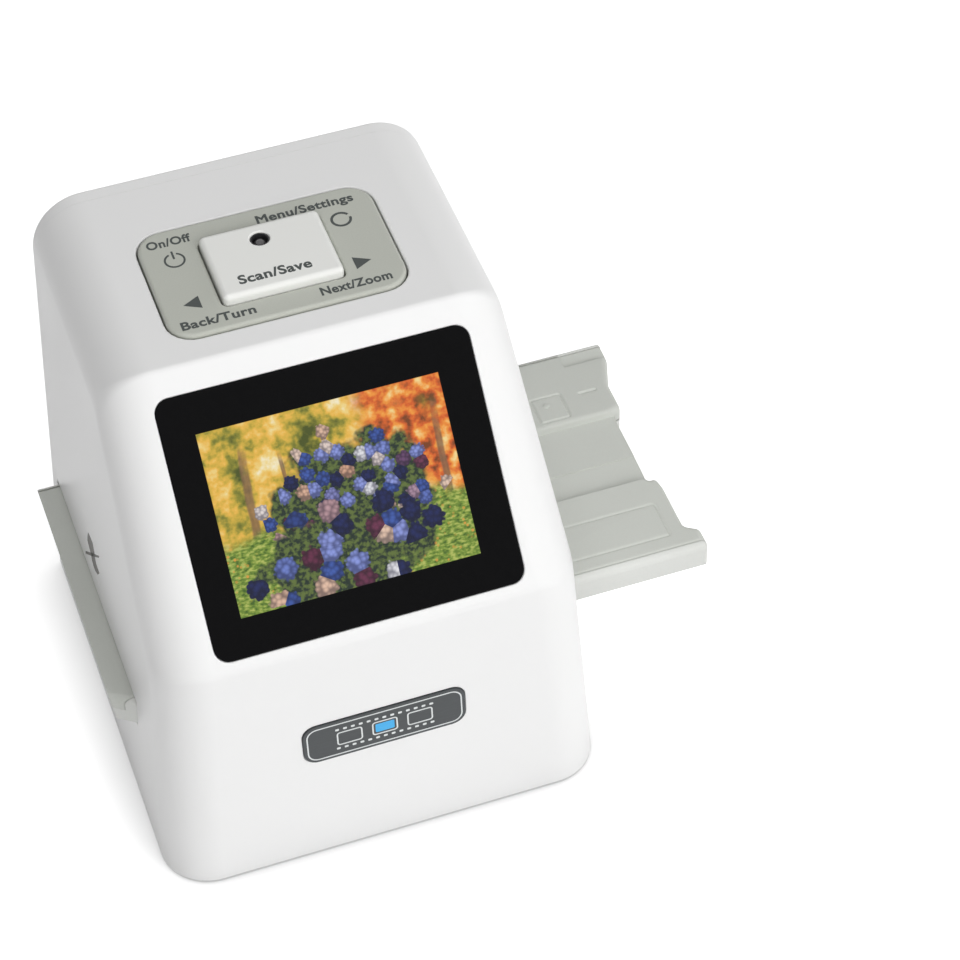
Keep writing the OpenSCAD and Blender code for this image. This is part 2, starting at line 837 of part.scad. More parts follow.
module lens_elements() {
    color([0.7, 0.8, 0.9])
        translate([0, axis_y, barrel_z]) {
            translate([0, 0, lens_seat - lens_t[0]]) cylinder(d = lens_d, h = lens_t[0]);
            translate([0, 0, barrel_l - lens_seat]) cylinder(d = lens_d, h = lens_t[1]);
        }
}

chip = [8, 8, 1];
filter_t = 0.5;
sensor_board_w = 30;
sensor_screw_l = 5;

module infrared_filter() {
    color([0.5, 0.8, 0.85])
        translate([0, axis_y, sensor_z - chip[2] - filter_t / 2])
            cube([chip[0], chip[1], filter_t], center = true);
}

module image_sensor() {
    color(charcoal)
        translate([0, axis_y, sensor_z - chip[2] / 2]) cube(chip, center = true);
}

module sensor_board() {
    color(board_green)
        translate([0, axis_y, sensor_z])
            difference() {
                rounded_plate(sensor_board_w, sensor_board_w, board_t, board_r);
                for (x = [-1, 1])
                    translate([x * holder_screw[0], -x * holder_screw[1], 0])
                        hole(hole_d(small_screw), [-past, board_t + past]);
            }
}

module sensor_screws() {
    color(steel)
        for (x = [-1, 1])
            translate([x * holder_screw[0], axis_y - x * holder_screw[1], sensor_z + board_t])
                screw(small_screw, sensor_screw_l);
}

// ---------- main board ----------

main_board_x = 36.6;
main_board_y = [-5.5, 43];

module main_board() {
    color(board_green)
        difference() {
            span([-main_board_x, main_board_x], main_board_y, [main_board_z, board_top]);
            for (x = [-1, 1], y = lug_y)
                translate([x * lug_screw_x, y, 0])
                    hole(hole_d(small_screw), [main_board_z - past, board_top + past]);
        }
}

module board_screws() {
    color(steel)
        for (x = [-1, 1], y = lug_y)
            translate([x * lug_screw_x, y, board_top])
                screw(small_screw, main_board_t + lug[2]);
}

processor = [14, 14, 1.2];
processor_at = [-16, 10];
memory = [12, 8, 1];
memory_at = [[8, 2], [8, 13]];
capacitor = [5, 5.4];            // diameter and height
capacitor_at = [[22, 6], [28, 6]];
chip_r = 0.5;                    // corner radius of the chips

// A chip of the given size on the main board, centred at [x, y]
module board_chip(at, size) {
    translate([at[0], at[1], board_top]) rounded_plate(size[0], size[1], size[2], chip_r);
}

module processor_chip() {
    color(charcoal) board_chip(processor_at, processor);
}

module memory_chips() {
    color(charcoal) for (at = memory_at) board_chip(at, memory);
}

module capacitors() {
    color(steel)
        for (at = capacitor_at)
            translate([at[0], at[1], board_top]) cylinder(d = capacitor[0], h = capacitor[1]);
}

// ---------- keypad ----------

pad_top = body_h + pad_proud;
key_top = pad_top + key_proud;
pivot_z = 100.1;                 // height of the rocker's two axes
flange_z = 101.9;                // underside of the pad's retaining flange
flange_t = 1;
flange_out = 1.2;
dome_h = 0.3;
dome_top = key_board_top + dome_h;
dome_d = 5;
nub_d = 3;
nub_at = [20.6, 12.2];
nub_z = dome_top + (nub_at[0] + nub_at[1]) * sin(rock) + 2 * fit;
stem_y = pad_y - 1.6;             // the stem stands clear of the lamp
stem_d = 6;
stem_z = dome_top + key_travel + 2 * fit;
lamp_at = [-0.85, pad_y + 4.8];
lamp_d = 3;
lamp_h = 8.3;                    // height of the lamp's round body, under its dome
ring_out = [35.4, 25.4];
ring_in = [27.6, 22.2];
ring_t = 1.4;
ring_r = 1.5;                    // corner radius of the ring
post_w = 5;                      // width of the rocker posts
post_up = 0.95;                  // their height over their bores
lug_t = 1.6;                     // thickness of the posts and of the pad's hinge lugs
lug_w = 4;                       // width of the pad's hinge lugs
lug_down = 1.3;                  // how far they reach under the axis
key_up = 0.6;                    // the key's lower edge over the pad's flange
key_wall = [1.6, 0.8];           // thickness of the key's walls, and its inner corner radius
guide = [8.6, 4.2];              // diameter and height of the key's guide
key_board_size = [66, 30];
key_screw_l = 5;

module keypad_pad() {
    color(grey)
        difference() {
            union() {
                translate([0, pad_y, flange_z])
                    rounded_plate(pad[0], pad[1], pad_top - flange_z, pad[2]);
                translate([0, pad_y, flange_z])
                    rounded_plate(pad[0] + 2 * flange_out, pad[1] + 2 * flange_out,
                                  flange_t, pad[2] + flange_out);
                four(0, pad_y, nub_at[0], nub_at[1])
                    hole(nub_d, [nub_z, flange_z + eps]);
                for (y = [-1, 1])
                    translate([-lug_w / 2, pad_y + y * (ring_out[1] / 2 + gap + lug_t / 2) - lug_t / 2,
                               pivot_z - lug_down])
                        cube([lug_w, lug_t, flange_z - pivot_z + lug_down + eps]);
            }
            translate([0, pad_y, flange_z - past])
                rounded_plate(key[0] + 2 * gap, key[1] + 2 * gap, pad_top - flange_z + 2 * past,
                              key[2] + gap);
            translate([0, pad_y + ring_out[1], pivot_z])
                rotate([90, 0, 0]) cylinder(d = pin_d + 2 * fit, h = 2 * ring_out[1]);
        }
}

// The ring under the pad: it tilts front to rear, and carries the pad's own side tilt
module rocker_ring() {
    color(black) {
        translate([0, pad_y, pivot_z - ring_t / 2])
            rounded_frame(ring_out, ring_in, ring_t, ring_r);
        for (x = [-1, 1])
            translate([x * (ring_out[0] / 2 - eps), pad_y, pivot_z])
                rotate([0, x * 90, 0]) cylinder(d = pin_d, h = gap + lug_t);
        for (y = [-1, 1])
            translate([0, pad_y + y * (ring_out[1] / 2 - eps), pivot_z])
                rotate([-y * 90, 0, 0]) cylinder(d = pin_d, h = gap + lug_t);
    }
}

module rocker_posts() {
    color(black)
        for (x = [-1, 1])
            difference() {
                translate([x * (ring_out[0] / 2 + gap + lug_t / 2), pad_y,
                           (key_board_top + pivot_z + post_up) / 2])
                    cube([lug_t, post_w, pivot_z + post_up - key_board_top], center = true);
                translate([x * ring_out[0] / 2, pad_y, pivot_z])
                    rotate([0, x * 90, 0]) cylinder(d = pin_d + 2 * fit, h = gap + lug_t + past);
            }
}

module ok_key() {
    color(white)
        difference() {
            union() {
                difference() {
                    translate([0, pad_y, flange_z + key_up])
                        rounded_plate(key[0], key[1], key_top - flange_z - key_up, key[2]);
                    translate([0, pad_y, flange_z])
                        rounded_plate(key[0] - 2 * key_wall[0], key[1] - 2 * key_wall[0],
                                      key_top - flange_z - key_wall[0], key_wall[1]);
                }
                translate([0, stem_y, 0]) hole(stem_d, [stem_z, key_top - key_wall[0] + bite]);
            }
            translate([lamp_at[0], lamp_at[1], flange_z]) cylinder(d = lamp_hole, h = key_top);
        }
}

module key_guide() {
    color(black)
        translate([0, stem_y, key_board_top])
            difference() {
                cylinder(d = guide[0], h = guide[1]);
                hole(stem_d + 2 * fit, [-past, guide[1] + past]);
            }
}

module status_lamp() {
    color(charcoal)
        translate([lamp_at[0], lamp_at[1], key_board_top]) {
            cylinder(d = lamp_d, h = lamp_h);
            translate([0, 0, lamp_h]) sphere(d = lamp_d);
        }
}

module key_board() {
    color(board_green)
        translate([0, pad_y, key_board_z])
            difference() {
                rounded_plate(key_board_size[0], key_board_size[1], board_t, board_r);
                four(0, 0, pad_screw[0], pad_screw[1])
                    hole(hole_d(small_screw), [-past, board_t + past]);
            }
}

module snap_domes() {
    color(steel)
        translate([0, 0, key_board_top]) {
            four(0, pad_y, nub_at[0], nub_at[1]) cylinder(d = dome_d, h = dome_h);
            translate([0, stem_y, 0]) cylinder(d = dome_d, h = dome_h);
        }
}

module key_board_screws() {
    color(steel)
        four(0, pad_y, pad_screw[0], pad_screw[1])
            translate([0, 0, key_board_z]) rotate([180, 0, 0]) screw(small_screw, key_screw_l);
}

// ---------- ribbons and wires ----------

// Y and Z along each ribbon, its X and its width
lcd_run = [[-30.8, 66.6], [-20, 66], [-13, 78], [-9, 86.5], [-3, 86.5]];
sensor_run = [[24, 81.65], [30, 81.65], [33, 86.5], [38, 86.5]];
key_run = [[24, 96.6], [31, 96.6], [33, 94], [33, 88.7]];
ribbon_x = [0, 0, -24];
ribbon_w = [16, 12, 8];
ribbon_t = [[0.15, 0.35], [-0.15, 0.35], [0.3, 0.3]];     // from one face to the other
wire_d = 1.1;
wire_x = [-1, 1];                // the two light wires, side by side
wire_shift = [0, 0, 0, 14, 14, 14];
wire_run = [[-8, 6.2], [-8, 8.2], [-33, 8.2], [-33, 50], [-15, 74], [-4, 86.3]];

module lcd_ribbon() {
    color(amber) ribbon(lcd_run, ribbon_t[0], ribbon_x[0], ribbon_w[0]);
}

module sensor_ribbon() {
    color(amber) ribbon(sensor_run, ribbon_t[1], ribbon_x[1], ribbon_w[1]);
}

module key_ribbon() {
    color(amber) ribbon(key_run, ribbon_t[2], ribbon_x[2], ribbon_w[2]);
}

module light_wires() {
    color("firebrick")
        for (x = wire_x) {
            route = [for (i = [0:len(wire_run) - 1])
                        [x + wire_shift[i], wire_run[i][0], wire_run[i][1]]];
            for (i = [0:len(route) - 2]) rod(route[i], route[i + 1], wire_d);
        }
}

// ---------- film adapter ----------

adapter_x = [-adapter_left, adapter_l - adapter_left];
adapter_mid = (adapter_x[0] + adapter_x[1]) / 2;
base_wall = 1.3;                 // front and rear walls of the lower half
base_floor = 3.2;
film_t = 0.5;                    // depth of the film's track
corner_r = 1.2;
notch_step = 2.6;                // depth of the step behind the finger notch
notch_arc = 4;                   // facets of the step's rounded corner
notch_slope = [19.4, 27.7];      // ends of the slope behind the step, from the middle line
notch_front = [[1, -28.4], [-3, -25.9], [-3, -14], [-3.5, -11.4]];   // its plan ahead of the channel
scoop = [70.3, front_y + 85.8, 0.8];         // X and Y of the finger scoop, and its depth
cover_z = adapter_h + base_floor + fit;
channel_y = [axis_y - channel[0] / 2, axis_y + channel[0] / 2];
channel_x = 24;
groove = [2.8, 1.1];             // width and depth of the detent groove
stop = [2, 20, 1.6];             // rib under the adapter that meets the right wall
stop_gap = 0.5;                  // room between the stop and the right wall
stop_x = half_width(adapter_h) + stop_gap;
gate_r = 1;                      // corner radius of the picture window
panel_x = [30, 73];              // shallow panel in the front block
panel_y = [front_y + 31, front_y + 41];
panel_depth = 0.4;
square_mark = [62, front_y + 76.2, 7, 0.9];  // X, Y, size and line width of the square
tick = [[69.4, 74.6], front_y + 77.6, 0.8];  // X limits, Y and width of the tick mark

// The adapter's plan, t high: round corners at its right end, square ones at its left end
module adapter_outline(t) {
    translate([adapter_mid, axis_y, 0]) rounded_plate(adapter_l, adapter_w, t, corner_r);
    span([adapter_x[0], adapter_x[0] + 2 * corner_r], adapter_y, [0, t]);
}

// The notch's plan behind the channel's front edge, as [X from the end, Y from the middle line]:
// the channel's end, a rounded corner, a shallower step and the slope out to the end
function notch_rear() =
    let (y = channel[0] / 2, r = notch - notch_step)
    concat([for (i = [0:notch_arc]) let (a = 90 * i / notch_arc)
                [-notch + r * sin(a), y + r * (1 - cos(a))]],
           [[-notch_step, notch_slope[0]], [past, notch_slope[1]]]);

module finger_notch(z) {
    translate([adapter_x[1], axis_y, z])
        linear_extrude(2 * adapter_t) polygon(concat(notch_front, notch_rear()));
}

// The finger scoop in the rear right corner of the top
module finger_scoop() {
    span([scoop[0], adapter_x[1] + past], [scoop[1], adapter_y[1] + past],
         [adapter_top - scoop[2], adapter_top + past]);
}

// The picture window through the adapter
module picture_window() {
    translate([0, axis_y, adapter_h - past])
        rounded_plate(gate[0], gate[1], adapter_t + 2 * past, gate_r);
}

module adapter_base() {
    along = [adapter_x[0] - past, adapter_x[1] + past];
    color(pale_grey) {
        difference() {
            translate([0, 0, adapter_h]) adapter_outline(adapter_t);
            span(along, [adapter_y[0] + base_wall, adapter_y[1] - base_wall],
                 [adapter_h + base_floor, adapter_top + past]);
            span(along, [axis_y - film_w / 2, axis_y + film_w / 2],
                 [adapter_h + base_floor - film_t, adapter_top]);
            span(along, [detent_y - groove[0] / 2, detent_y + groove[0] / 2],
                 [adapter_h - past, adapter_h + groove[1]]);
            picture_window();
            finger_notch(adapter_h - past);
            finger_scoop();
        }
        span([stop_x, stop_x + stop[0]], [axis_y - stop[1] / 2, axis_y + stop[1] / 2],
             [adapter_h - stop[2], adapter_h + eps]);
    }
}

// A square block of width w about the middle of the square mark, between two heights
module square_block(w, z) {
    span([square_mark[0] - w / 2, square_mark[0] + w / 2],
         [square_mark[1] - w / 2, square_mark[1] + w / 2], z);
}

module adapter_cover() {
    shallow = [adapter_top - panel_depth, adapter_top + past];
    color(pale_grey)
        difference() {
            intersection() {
                translate([0, 0, cover_z]) adapter_outline(adapter_top - cover_z);
                span(adapter_x, [adapter_y[0] + base_wall + fit, adapter_y[1] - base_wall - fit],
                     [cover_z, adapter_top]);
            }
            picture_window();
            span([channel_x, adapter_x[1] + past], channel_y,
                 [adapter_top - channel[1], adapter_top + past]);
            span(panel_x, panel_y, shallow);
            difference() {
                square_block(square_mark[2], shallow);
                square_block(square_mark[2] - 2 * square_mark[3],
                             [shallow[0] - past, shallow[1] + past]);
            }
            span(tick[0], [tick[1] - tick[2] / 2, tick[1] + tick[2] / 2], shallow);
            finger_notch(cover_z - past);
            finger_scoop();
        }
}

housing();
rear_cover();
base_cover();
rubber_feet();
base_screws();
rear_screws();
display_window();
lcd_module();
lcd_frame();
lcd_screws();
nameplate();
keypad_pad();
rocker_ring();
ok_key();
key_guide();
status_lamp();
key_board();
snap_domes();
key_board_screws();
rocker_posts();
film_guide();
guide_screws();
pressure_plate();
plate_screws();
detent_spring();
light_box();
light_board();
light_leds();
diffuser();
optics_tower();
tower_screws();
lens_holder();
holder_screws();
lens_barrel();
lens_elements();
infrared_filter();
image_sensor();
sensor_board();
sensor_screws();
main_board();
board_screws();
processor_chip();
memory_chips();
capacitors();
usb_socket();
video_jack();
card_slot();
lcd_ribbon();
key_ribbon();
sensor_ribbon();
light_wires();
adapter_base();
adapter_cover();
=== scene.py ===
"""Film negative scanner: the outside looks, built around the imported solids.

Shapes are worked out in millimetres as whole numpy arrays and put into meshes in metres.
X runs along the film, +Y to the rear, +Z up, from the middle foot.
"""

import json
import math
from types import SimpleNamespace

import bpy
import numpy as np
from mathutils import Matrix, Quaternion, Vector


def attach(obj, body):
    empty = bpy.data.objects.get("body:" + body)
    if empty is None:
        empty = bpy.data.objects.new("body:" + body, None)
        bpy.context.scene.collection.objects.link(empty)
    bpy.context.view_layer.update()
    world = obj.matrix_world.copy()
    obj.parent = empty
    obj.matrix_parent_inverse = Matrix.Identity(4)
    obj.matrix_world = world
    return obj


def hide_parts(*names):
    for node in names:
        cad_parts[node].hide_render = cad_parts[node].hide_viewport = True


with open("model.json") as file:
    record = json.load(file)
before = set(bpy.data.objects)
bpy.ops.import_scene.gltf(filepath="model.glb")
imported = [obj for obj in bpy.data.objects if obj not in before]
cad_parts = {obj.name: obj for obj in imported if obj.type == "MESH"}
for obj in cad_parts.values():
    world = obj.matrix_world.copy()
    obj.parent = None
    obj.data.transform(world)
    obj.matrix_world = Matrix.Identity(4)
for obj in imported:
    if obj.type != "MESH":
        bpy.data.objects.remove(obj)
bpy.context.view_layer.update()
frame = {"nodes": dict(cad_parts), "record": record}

bl_info = {
    "name": "Film negative scanner",
    "version": (1, 0, 0),
    "blender": (4, 5, 0),
    "location": "3D View > Sidebar > Scanner",
    "description": "Case, screen, keypad and film adapter of a tabletop film scanner",
    "category": "Add Mesh",
}

MM = 0.001
BODY = "scanner_body"

# What follows is in millimetres, with heights from the table.
PLATE_GAP = 0.2  # how much wider an opening is than the fixed plate in it
MOVING_GAP = 0.7  # how much wider an opening is than the moving piece in it
WINDOW_THICK = 1.65
PICTURE_WIDTH, PICTURE_HEIGHT = 48.96, 36.72
PICTURE_SHIFT = (-0.6, -0.2)  # the picture's middle from the window's
NAMEPLATE_SUNK, NAMEPLATE_PROUD = 0.5, 0.3
INLAY = (0.25, 0.33)  # heights of the inlay's underside and top over the front
PAD_UNDERSIDE = 101.9
KEY_UNDERSIDE = 103.3
KEY_LAMP = (-0.85, 4.8)  # the lamp hole's middle from the pad's
SLOT_HEIGHTS = (25.1, 32.4)
REAR_SCREWS = ((-29.8, 50.0), (-24.0, 96.4), (29.8, 50.0), (24.0, 96.4))  # x and height
SOCKETS = ((-24.0, 7.8, 4.0), (14.0, 26.0, 2.9), (-11.0, 6.6, 5.0))  # x, width and height
SOCKET_FLOOR = 88.6
FILM_GATE = (36.6, 24.6)
FILM_TRACK = 35.3
TRAY_FLOOR, TRACK_FLOOR = 3.2, 2.7  # over the adapter's underside

# The stage, in metres and watts.
LAMP_SIZE = 0.7
LAMPS = {
    "right_light": ((0.45, -0.95, 0.7), 6.9),
    "left_light": ((-0.5, -1.05, 0.65), 4.5),
    "side_light": ((1.3, -0.2, 0.35), 3.0),
    "top_light": ((0.0, 0.0, 1.3), 4.5),
}
SKY_LIGHT = 0.1
CAMERA_PLACE = (-0.1015, -0.4244, 0.5163)
CAMERA_RIGHT, CAMERA_DOWN = (0.9438, -0.3299, -0.02), (-0.2526, -0.6809, -0.6874)
FOCAL_PIXELS, FRAME_PIXELS, SENSOR_WIDTH = 3088, 960, 36.0


# ---------- sizes and colours ----------


def length(name, description, millimetres):
    return bpy.props.FloatProperty(
        name=name, description=description, default=millimetres * MM, subtype="DISTANCE", unit="LENGTH"
    )


def colour(name, description, rgb):
    return bpy.props.FloatVectorProperty(
        name=name, description=description, default=rgb, size=3, min=0, max=1, subtype="COLOR"
    )


class ScannerCaseSizes(bpy.types.PropertyGroup):
    """The white case"""

    foot_width: length("Foot width", "Width across the side walls at the table", 94.2)
    top_width: length("Top width", "Width across the side walls at the top face", 81.8)
    depth: length("Depth", "From the foot of the front to the foot of the rear wall", 98.3)
    front_reach: length("Front reach", "From the middle foot to the foot of the front", 48.2)
    height: length("Height", "Height of the top face", 106.3)
    ridge_height: length("Ridge height", "Height of the ridge under the screen", 60.2)
    ridge_setback: length("Ridge setback", "Ridge behind the foot of the front", 2.5)
    brow_setback: length("Brow setback", "Brow behind the foot of the front", 41.3)
    rear_lean: length("Rear lean", "Lean of the rear wall over its height", 1.5)
    rim: length("Rim radius", "Radius of the rims along the side walls", 10.5)
    rear_rim: length("Rear rim radius", "Radius of the rear wall's upright edges", 0.8)
    ridge_radius: length("Ridge radius", "Radius of the ridge under the screen", 3.0)
    brow_radius: length("Brow radius", "Radius of the brow over the screen", 1.6)
    rear_radius: length("Rear radius", "Radius of the rear top edge", 0.8)
    wall: length("Wall", "Thickness of the shells", 2.2)
    lift: length("Lift", "Gap under the case's lower edge", 0.8)
    seam: length("Seam", "Y of the seam between the housing and the rear cover", 45.2)
    parting: length("Parting line", "Half width of the parting line at the seam", 0.02)


class ScannerFrontSizes(bpy.types.PropertyGroup):
    """The display window, the nameplate and the keypad"""

    window_width: length("Window width", "Width of the display window", 63.2)
    window_height: length("Window height", "Height of the display window", 52.2)
    window_radius: length("Window corner", "Corner radius of the display window", 3.0)
    plate_width: length("Nameplate width", "Width of the blank nameplate", 34.2)
    plate_height: length("Nameplate height", "Height of the blank nameplate", 10.6)
    pad_width: length("Pad width", "Width of the rocking pad", 48.6)
    pad_depth: length("Pad depth", "Depth of the rocking pad", 31.4)
    pad_radius: length("Pad corner", "Corner radius of the rocking pad", 5.5)
    pad_top: length("Pad top", "Height of the pad's top face", 106.8)
    pad_y: length("Pad place", "Y of the middle of the pad", 15.0)
    key_width: length("Key width", "Width of the centre key", 24.6)
    key_depth: length("Key depth", "Depth of the centre key", 19.0)
    key_top: length("Key top", "Height of the centre key's top face", 108.6)


class ScannerAdapterSizes(bpy.types.PropertyGroup):
    """The sliding film adapter"""

    left: length("Left end", "X of the adapter's left end", -50.1)
    right: length("Right end", "X of the adapter's right end", 80.1)
    front: length("Front edge", "Y of the adapter's front edge", -22.7)
    rear: length("Rear edge", "Y of the adapter's rear edge", 43.6)
    low: length("Underside", "Height of the adapter's underside", 25.5)
    top: length("Top", "Height of the adapter's top face", 32.0)
    tray_wall: length("Tray wall", "Thickness of the lower half's front and rear walls", 1.5)
    corner: length("Corner", "Radius of the adapter's right corners", 1.2)
    round: length("Round", "Radius of the adapter's upper edge round its ends", 1.6)
    middle: length("Middle line", "Y of the film's middle line", 10.6)
    channel_depth: length("Channel depth", "Depth of the open channel", 1.6)


class ScannerColours(bpy.types.PropertyGroup):
    """Colours of the mouldings and prints"""

    case: colour("Case", "White of the case", (0.885, 0.885, 0.882))
    key: colour("Key", "White of the centre key", (0.9, 0.905, 0.875))
    pad: colour("Pad", "Grey of the rocking pad", (0.53, 0.545, 0.49))
    # The cover's grey is darkened as painted shade on its top face; the tray's paler grey is partly its own
    # and partly painted light on its front-facing walls.
    adapter: colour("Adapter cover", "Grey of the adapter's upper half", (0.605, 0.622, 0.58))
    tray: colour("Adapter tray", "Paler grey of the adapter's lower half", (0.705, 0.715, 0.685))
    print: colour("Print", "Dark grey of the keypad's marks", (0.05, 0.058, 0.056))
    plate: colour("Nameplate", "Charcoal of the nameplate", (0.045, 0.05, 0.053))
    inlay: colour("Inlay", "Pale metal of the nameplate's inlay", (0.6, 0.62, 0.62))
    accent: colour("Accent", "Blue of the nameplate's middle frame", (0.06, 0.42, 0.8))


def in_mm(group):
    """The lengths of a property group, in millimetres."""
    return SimpleNamespace(**{name: getattr(group, name) / MM for name in group.__annotations__})


# ---------- surfaces ----------


def unit(vector):
    return vector / np.linalg.norm(vector)


def facing_out(vertices, quads, caps=()):
    """A closed surface as (vertices, faces), its faces turned round where six times the volume
    they enclose, the sum of a . (b x c) over their triangles, comes out negative."""
    volume = 0.0
    for group in [quads, *[np.asarray(cap)[None, :] for cap in caps]]:
        points = vertices[group]
        ahead = np.roll(points, -1, axis=1)
        volume += np.sum(points[:, :1] * np.cross(points, ahead))
    faces = quads.tolist() + [list(map(int, cap)) for cap in caps]
    return vertices, faces if volume > 0 else [face[::-1] for face in faces]


def loft(loops):
    """Closed loops, an array (loops, points, 3), joined by quads, with a cap on each end."""
    count, points = loops.shape[:2]
    row, column = np.mgrid[: count - 1, :points]
    here, across = row * points + column, row * points + (column + 1) % points
    quads = np.stack([here, across, across + points, here + points], axis=-1).reshape(-1, 4)
    caps = [np.arange(points)[::-1], np.arange(points) + (count - 1) * points]
    return facing_out(loops.reshape(-1, 3), quads, caps)


def ring(loops):
    """Closed loops joined by quads, the last one to the first, as a tyre's are."""
    count, points = loops.shape[:2]
    row, column = np.mgrid[:count, :points]
    ahead = (row + 1) % count
    across = (column + 1) % points
    quads = np.stack(
        [row * points + column, row * points + across, ahead * points + across, ahead * points + column],
        axis=-1,
    ).reshape(-1, 4)
    return facing_out(loops.reshape(-1, 3), quads)


def arcs(tip, u, v, radius, steps):
    """An arc of each radius at each tip, touching its two legs, which run along the unit vectors
    u and v. The centre is tip + bisector * r / sin(half), and the points are the centre plus
    (first * sin(sweep * (1 - s)) + last * sin(sweep * s)) / sin(sweep)."""
    half = np.arccos(np.sum(u * v, axis=-1, keepdims=True)) / 2
    bisector = (u + v) / (2 * np.cos(half))
    first = u / np.tan(half) - bisector / np.sin(half)
    last = v / np.tan(half) - bisector / np.sin(half)
    centre = tip + bisector * np.asarray(radius)[:, None] / np.sin(half)
    sweep, s = (np.pi - 2 * half)[..., None], np.linspace(0, 1, steps + 1)[:, None]
    turn = first[..., None, :] * np.sin(sweep * (1 - s)) + last[..., None, :] * np.sin(sweep * s)
    return centre[:, None] + np.asarray(radius)[:, None, None] * turn / np.sin(sweep)


def rounded_outline(points, radii, steps=5, inset=0.0):
    """A polygon, drawn anticlockwise, moved in by an inset, with each corner rounded by its own
    radius. A tip moves by side * (u + v) * inset / |u x v| for unit legs u and v, where side is 1
    at a corner that points out and -1 at one that points in, and the radius shrinks by
    side * inset."""
    corner = np.array(points, float)
    legs = [np.roll(corner, shift, axis=0) - corner for shift in (1, -1)]
    u, v = (leg / np.linalg.norm(leg, axis=1)[:, None] for leg in legs)
    cross = v[:, 0] * u[:, 1] - v[:, 1] * u[:, 0]
    tip = corner + (u + v) * (inset / cross)[:, None]
    return arcs(tip, u, v, np.maximum(np.array(radii) - np.sign(cross) * inset, 0.05), steps).reshape(-1, 2)


def rounded_loops(width, depth, radius, profile, steps):
    """The outline of a rounded rectangle at each (height, offset) of a profile: corner centres
    stay where they are, and the corner radius grows by the offset."""
    height, offset = np.array(profile, float).T[:, :, None]
    angle = (np.arange(4)[:, None] * np.pi / 2 + np.linspace(0, np.pi / 2, steps + 1)).ravel()
    side_x = np.repeat([1, -1, -1, 1], steps + 1)
    side_y = np.repeat([1, 1, -1, -1], steps + 1)
    grown = np.maximum(radius + offset, 0.01)
    x = side_x * (width / 2 - radius + np.minimum(radius + offset, 0)) + grown * np.cos(angle)
    y = side_y * (depth / 2 - radius + np.minimum(radius + offset, 0)) + grown * np.sin(angle)
    return np.stack([x, y, height + 0 * x], axis=-1)


def slab(width, depth, radius, profile, steps=6):
    """A rounded rectangle carried along a profile of heights and offsets, as a solid."""
    return loft(rounded_loops(width, depth, radius, profile, steps))


def band(width, depth, radius, line, low, high, steps=6):
    """A rounded rectangle's outline as a flat band of the given line width."""
    section = [(low, 0), (high, 0), (high, -line), (low, -line)]
    return ring(rounded_loops(width, depth, radius, section, steps))


def soft_plate(low, high, soft_low=0.0, soft_high=0.0, steps=4):
    """Heights and offsets of a plate whose lower and upper edges are quarter rounds."""
    turn = np.linspace(0, np.pi / 2, steps + 1)
    bottom = np.stack([low + soft_low * (1 - np.cos(turn)), soft_low * (np.sin(turn) - 1)], axis=1)
    top = np.stack([high - soft_high * (1 - np.sin(turn)), soft_high * (np.cos(turn) - 1)], axis=1)
    return np.concatenate([bottom if soft_low else bottom[:1], top if soft_high else top[:1]])


def soft_opening(low, face, soft, steps=4, past=2.0):
    """Heights and offsets of a cutter that leaves a quarter round at the edge of its opening."""
    turn = np.linspace(0, np.pi / 2, steps + 1)
    edge = np.stack([face - soft * (1 - np.sin(turn)), soft * (1 - np.cos(turn))], axis=1)
    return np.concatenate([[(low, 0)], edge, [(face + past, soft)]])


def groove(width, depth, radius, top, half=0.65, deep=0.38):
    """A cutter for a V-shaped line along a rounded rectangle in a face of the given height."""
    section = [(top - deep, 0), (top + 0.01, half), (top + 1, 0), (top + 0.01, -half)]
    return ring(rounded_loops(width, depth, radius, section, 4))


def disc(diameter, profile, steps=10):
    """A round solid: the rounded rectangle whose corners meet."""
    return slab(diameter, diameter, diameter / 2, profile, steps)


def prism(outline, axis, start, end):
    """A flat outline carried straight along an axis: 0 is X with points (y, z), 1 is Y with
    points (x, z), 2 is Z with points (x, y)."""
    outline = np.array(outline, float)
    ends = np.array([start, end], float)[:, None] + 0 * outline[None, :, 0]
    flat = np.broadcast_to(outline, (2, *outline.shape))
    return loft(np.insert(flat, axis, ends, axis=-1))


def block(x, y, z):
    """A plain cutter between two limits on each axis."""
    return prism([(x[0], y[0]), (x[1], y[0]), (x[1], y[1]), (x[0], y[1])], 2, *z)


def arc_band(radius, line, start, end, low, high, steps=40):
    """A flat band along part of a circle, its four-sided section carried round the centre."""
    angle = np.radians(np.linspace(start, end, steps + 1))[:, None]
    across = np.array([radius - line / 2, radius + line / 2, radius + line / 2, radius - line / 2])
    height = np.array([low, low, high, high]) + 0 * angle
    return loft(np.stack([across * np.cos(angle), across * np.sin(angle), height], axis=-1))


def moved(shape, x=0.0, y=0.0, z=0.0):
    return shape[0] + np.array([x, y, z]), shape[1]


def tilted(shape, angle, origin=(0.0, 0.0, 0.0)):
    """A shape turned about X by an angle in radians, and then moved to an origin."""
    c, s = math.cos(angle), math.sin(angle)
    turn = np.array([[1, 0, 0], [0, c, -s], [0, s, c]])
    return shape[0] @ turn.T + np.array(origin), shape[1]


# ---------- the case's surface ----------


def soft_corner(before, corner, after, inset, second, radius, steps):
    """The rounded corner of an outline whose first leg moves in by each inset and whose second
    leg by each second one, as (insets, steps + 1, 2) points. For unit legs u and v the tip moves
    to corner + (u * second + v * inset) / sin(2 * half)."""
    u, v = unit(before - corner), unit(after - corner)
    shift = (np.outer(second, u) + np.outer(inset, v)) / np.sin(np.arccos(u @ v))
    return arcs(corner + shift, u, v, radius, steps)


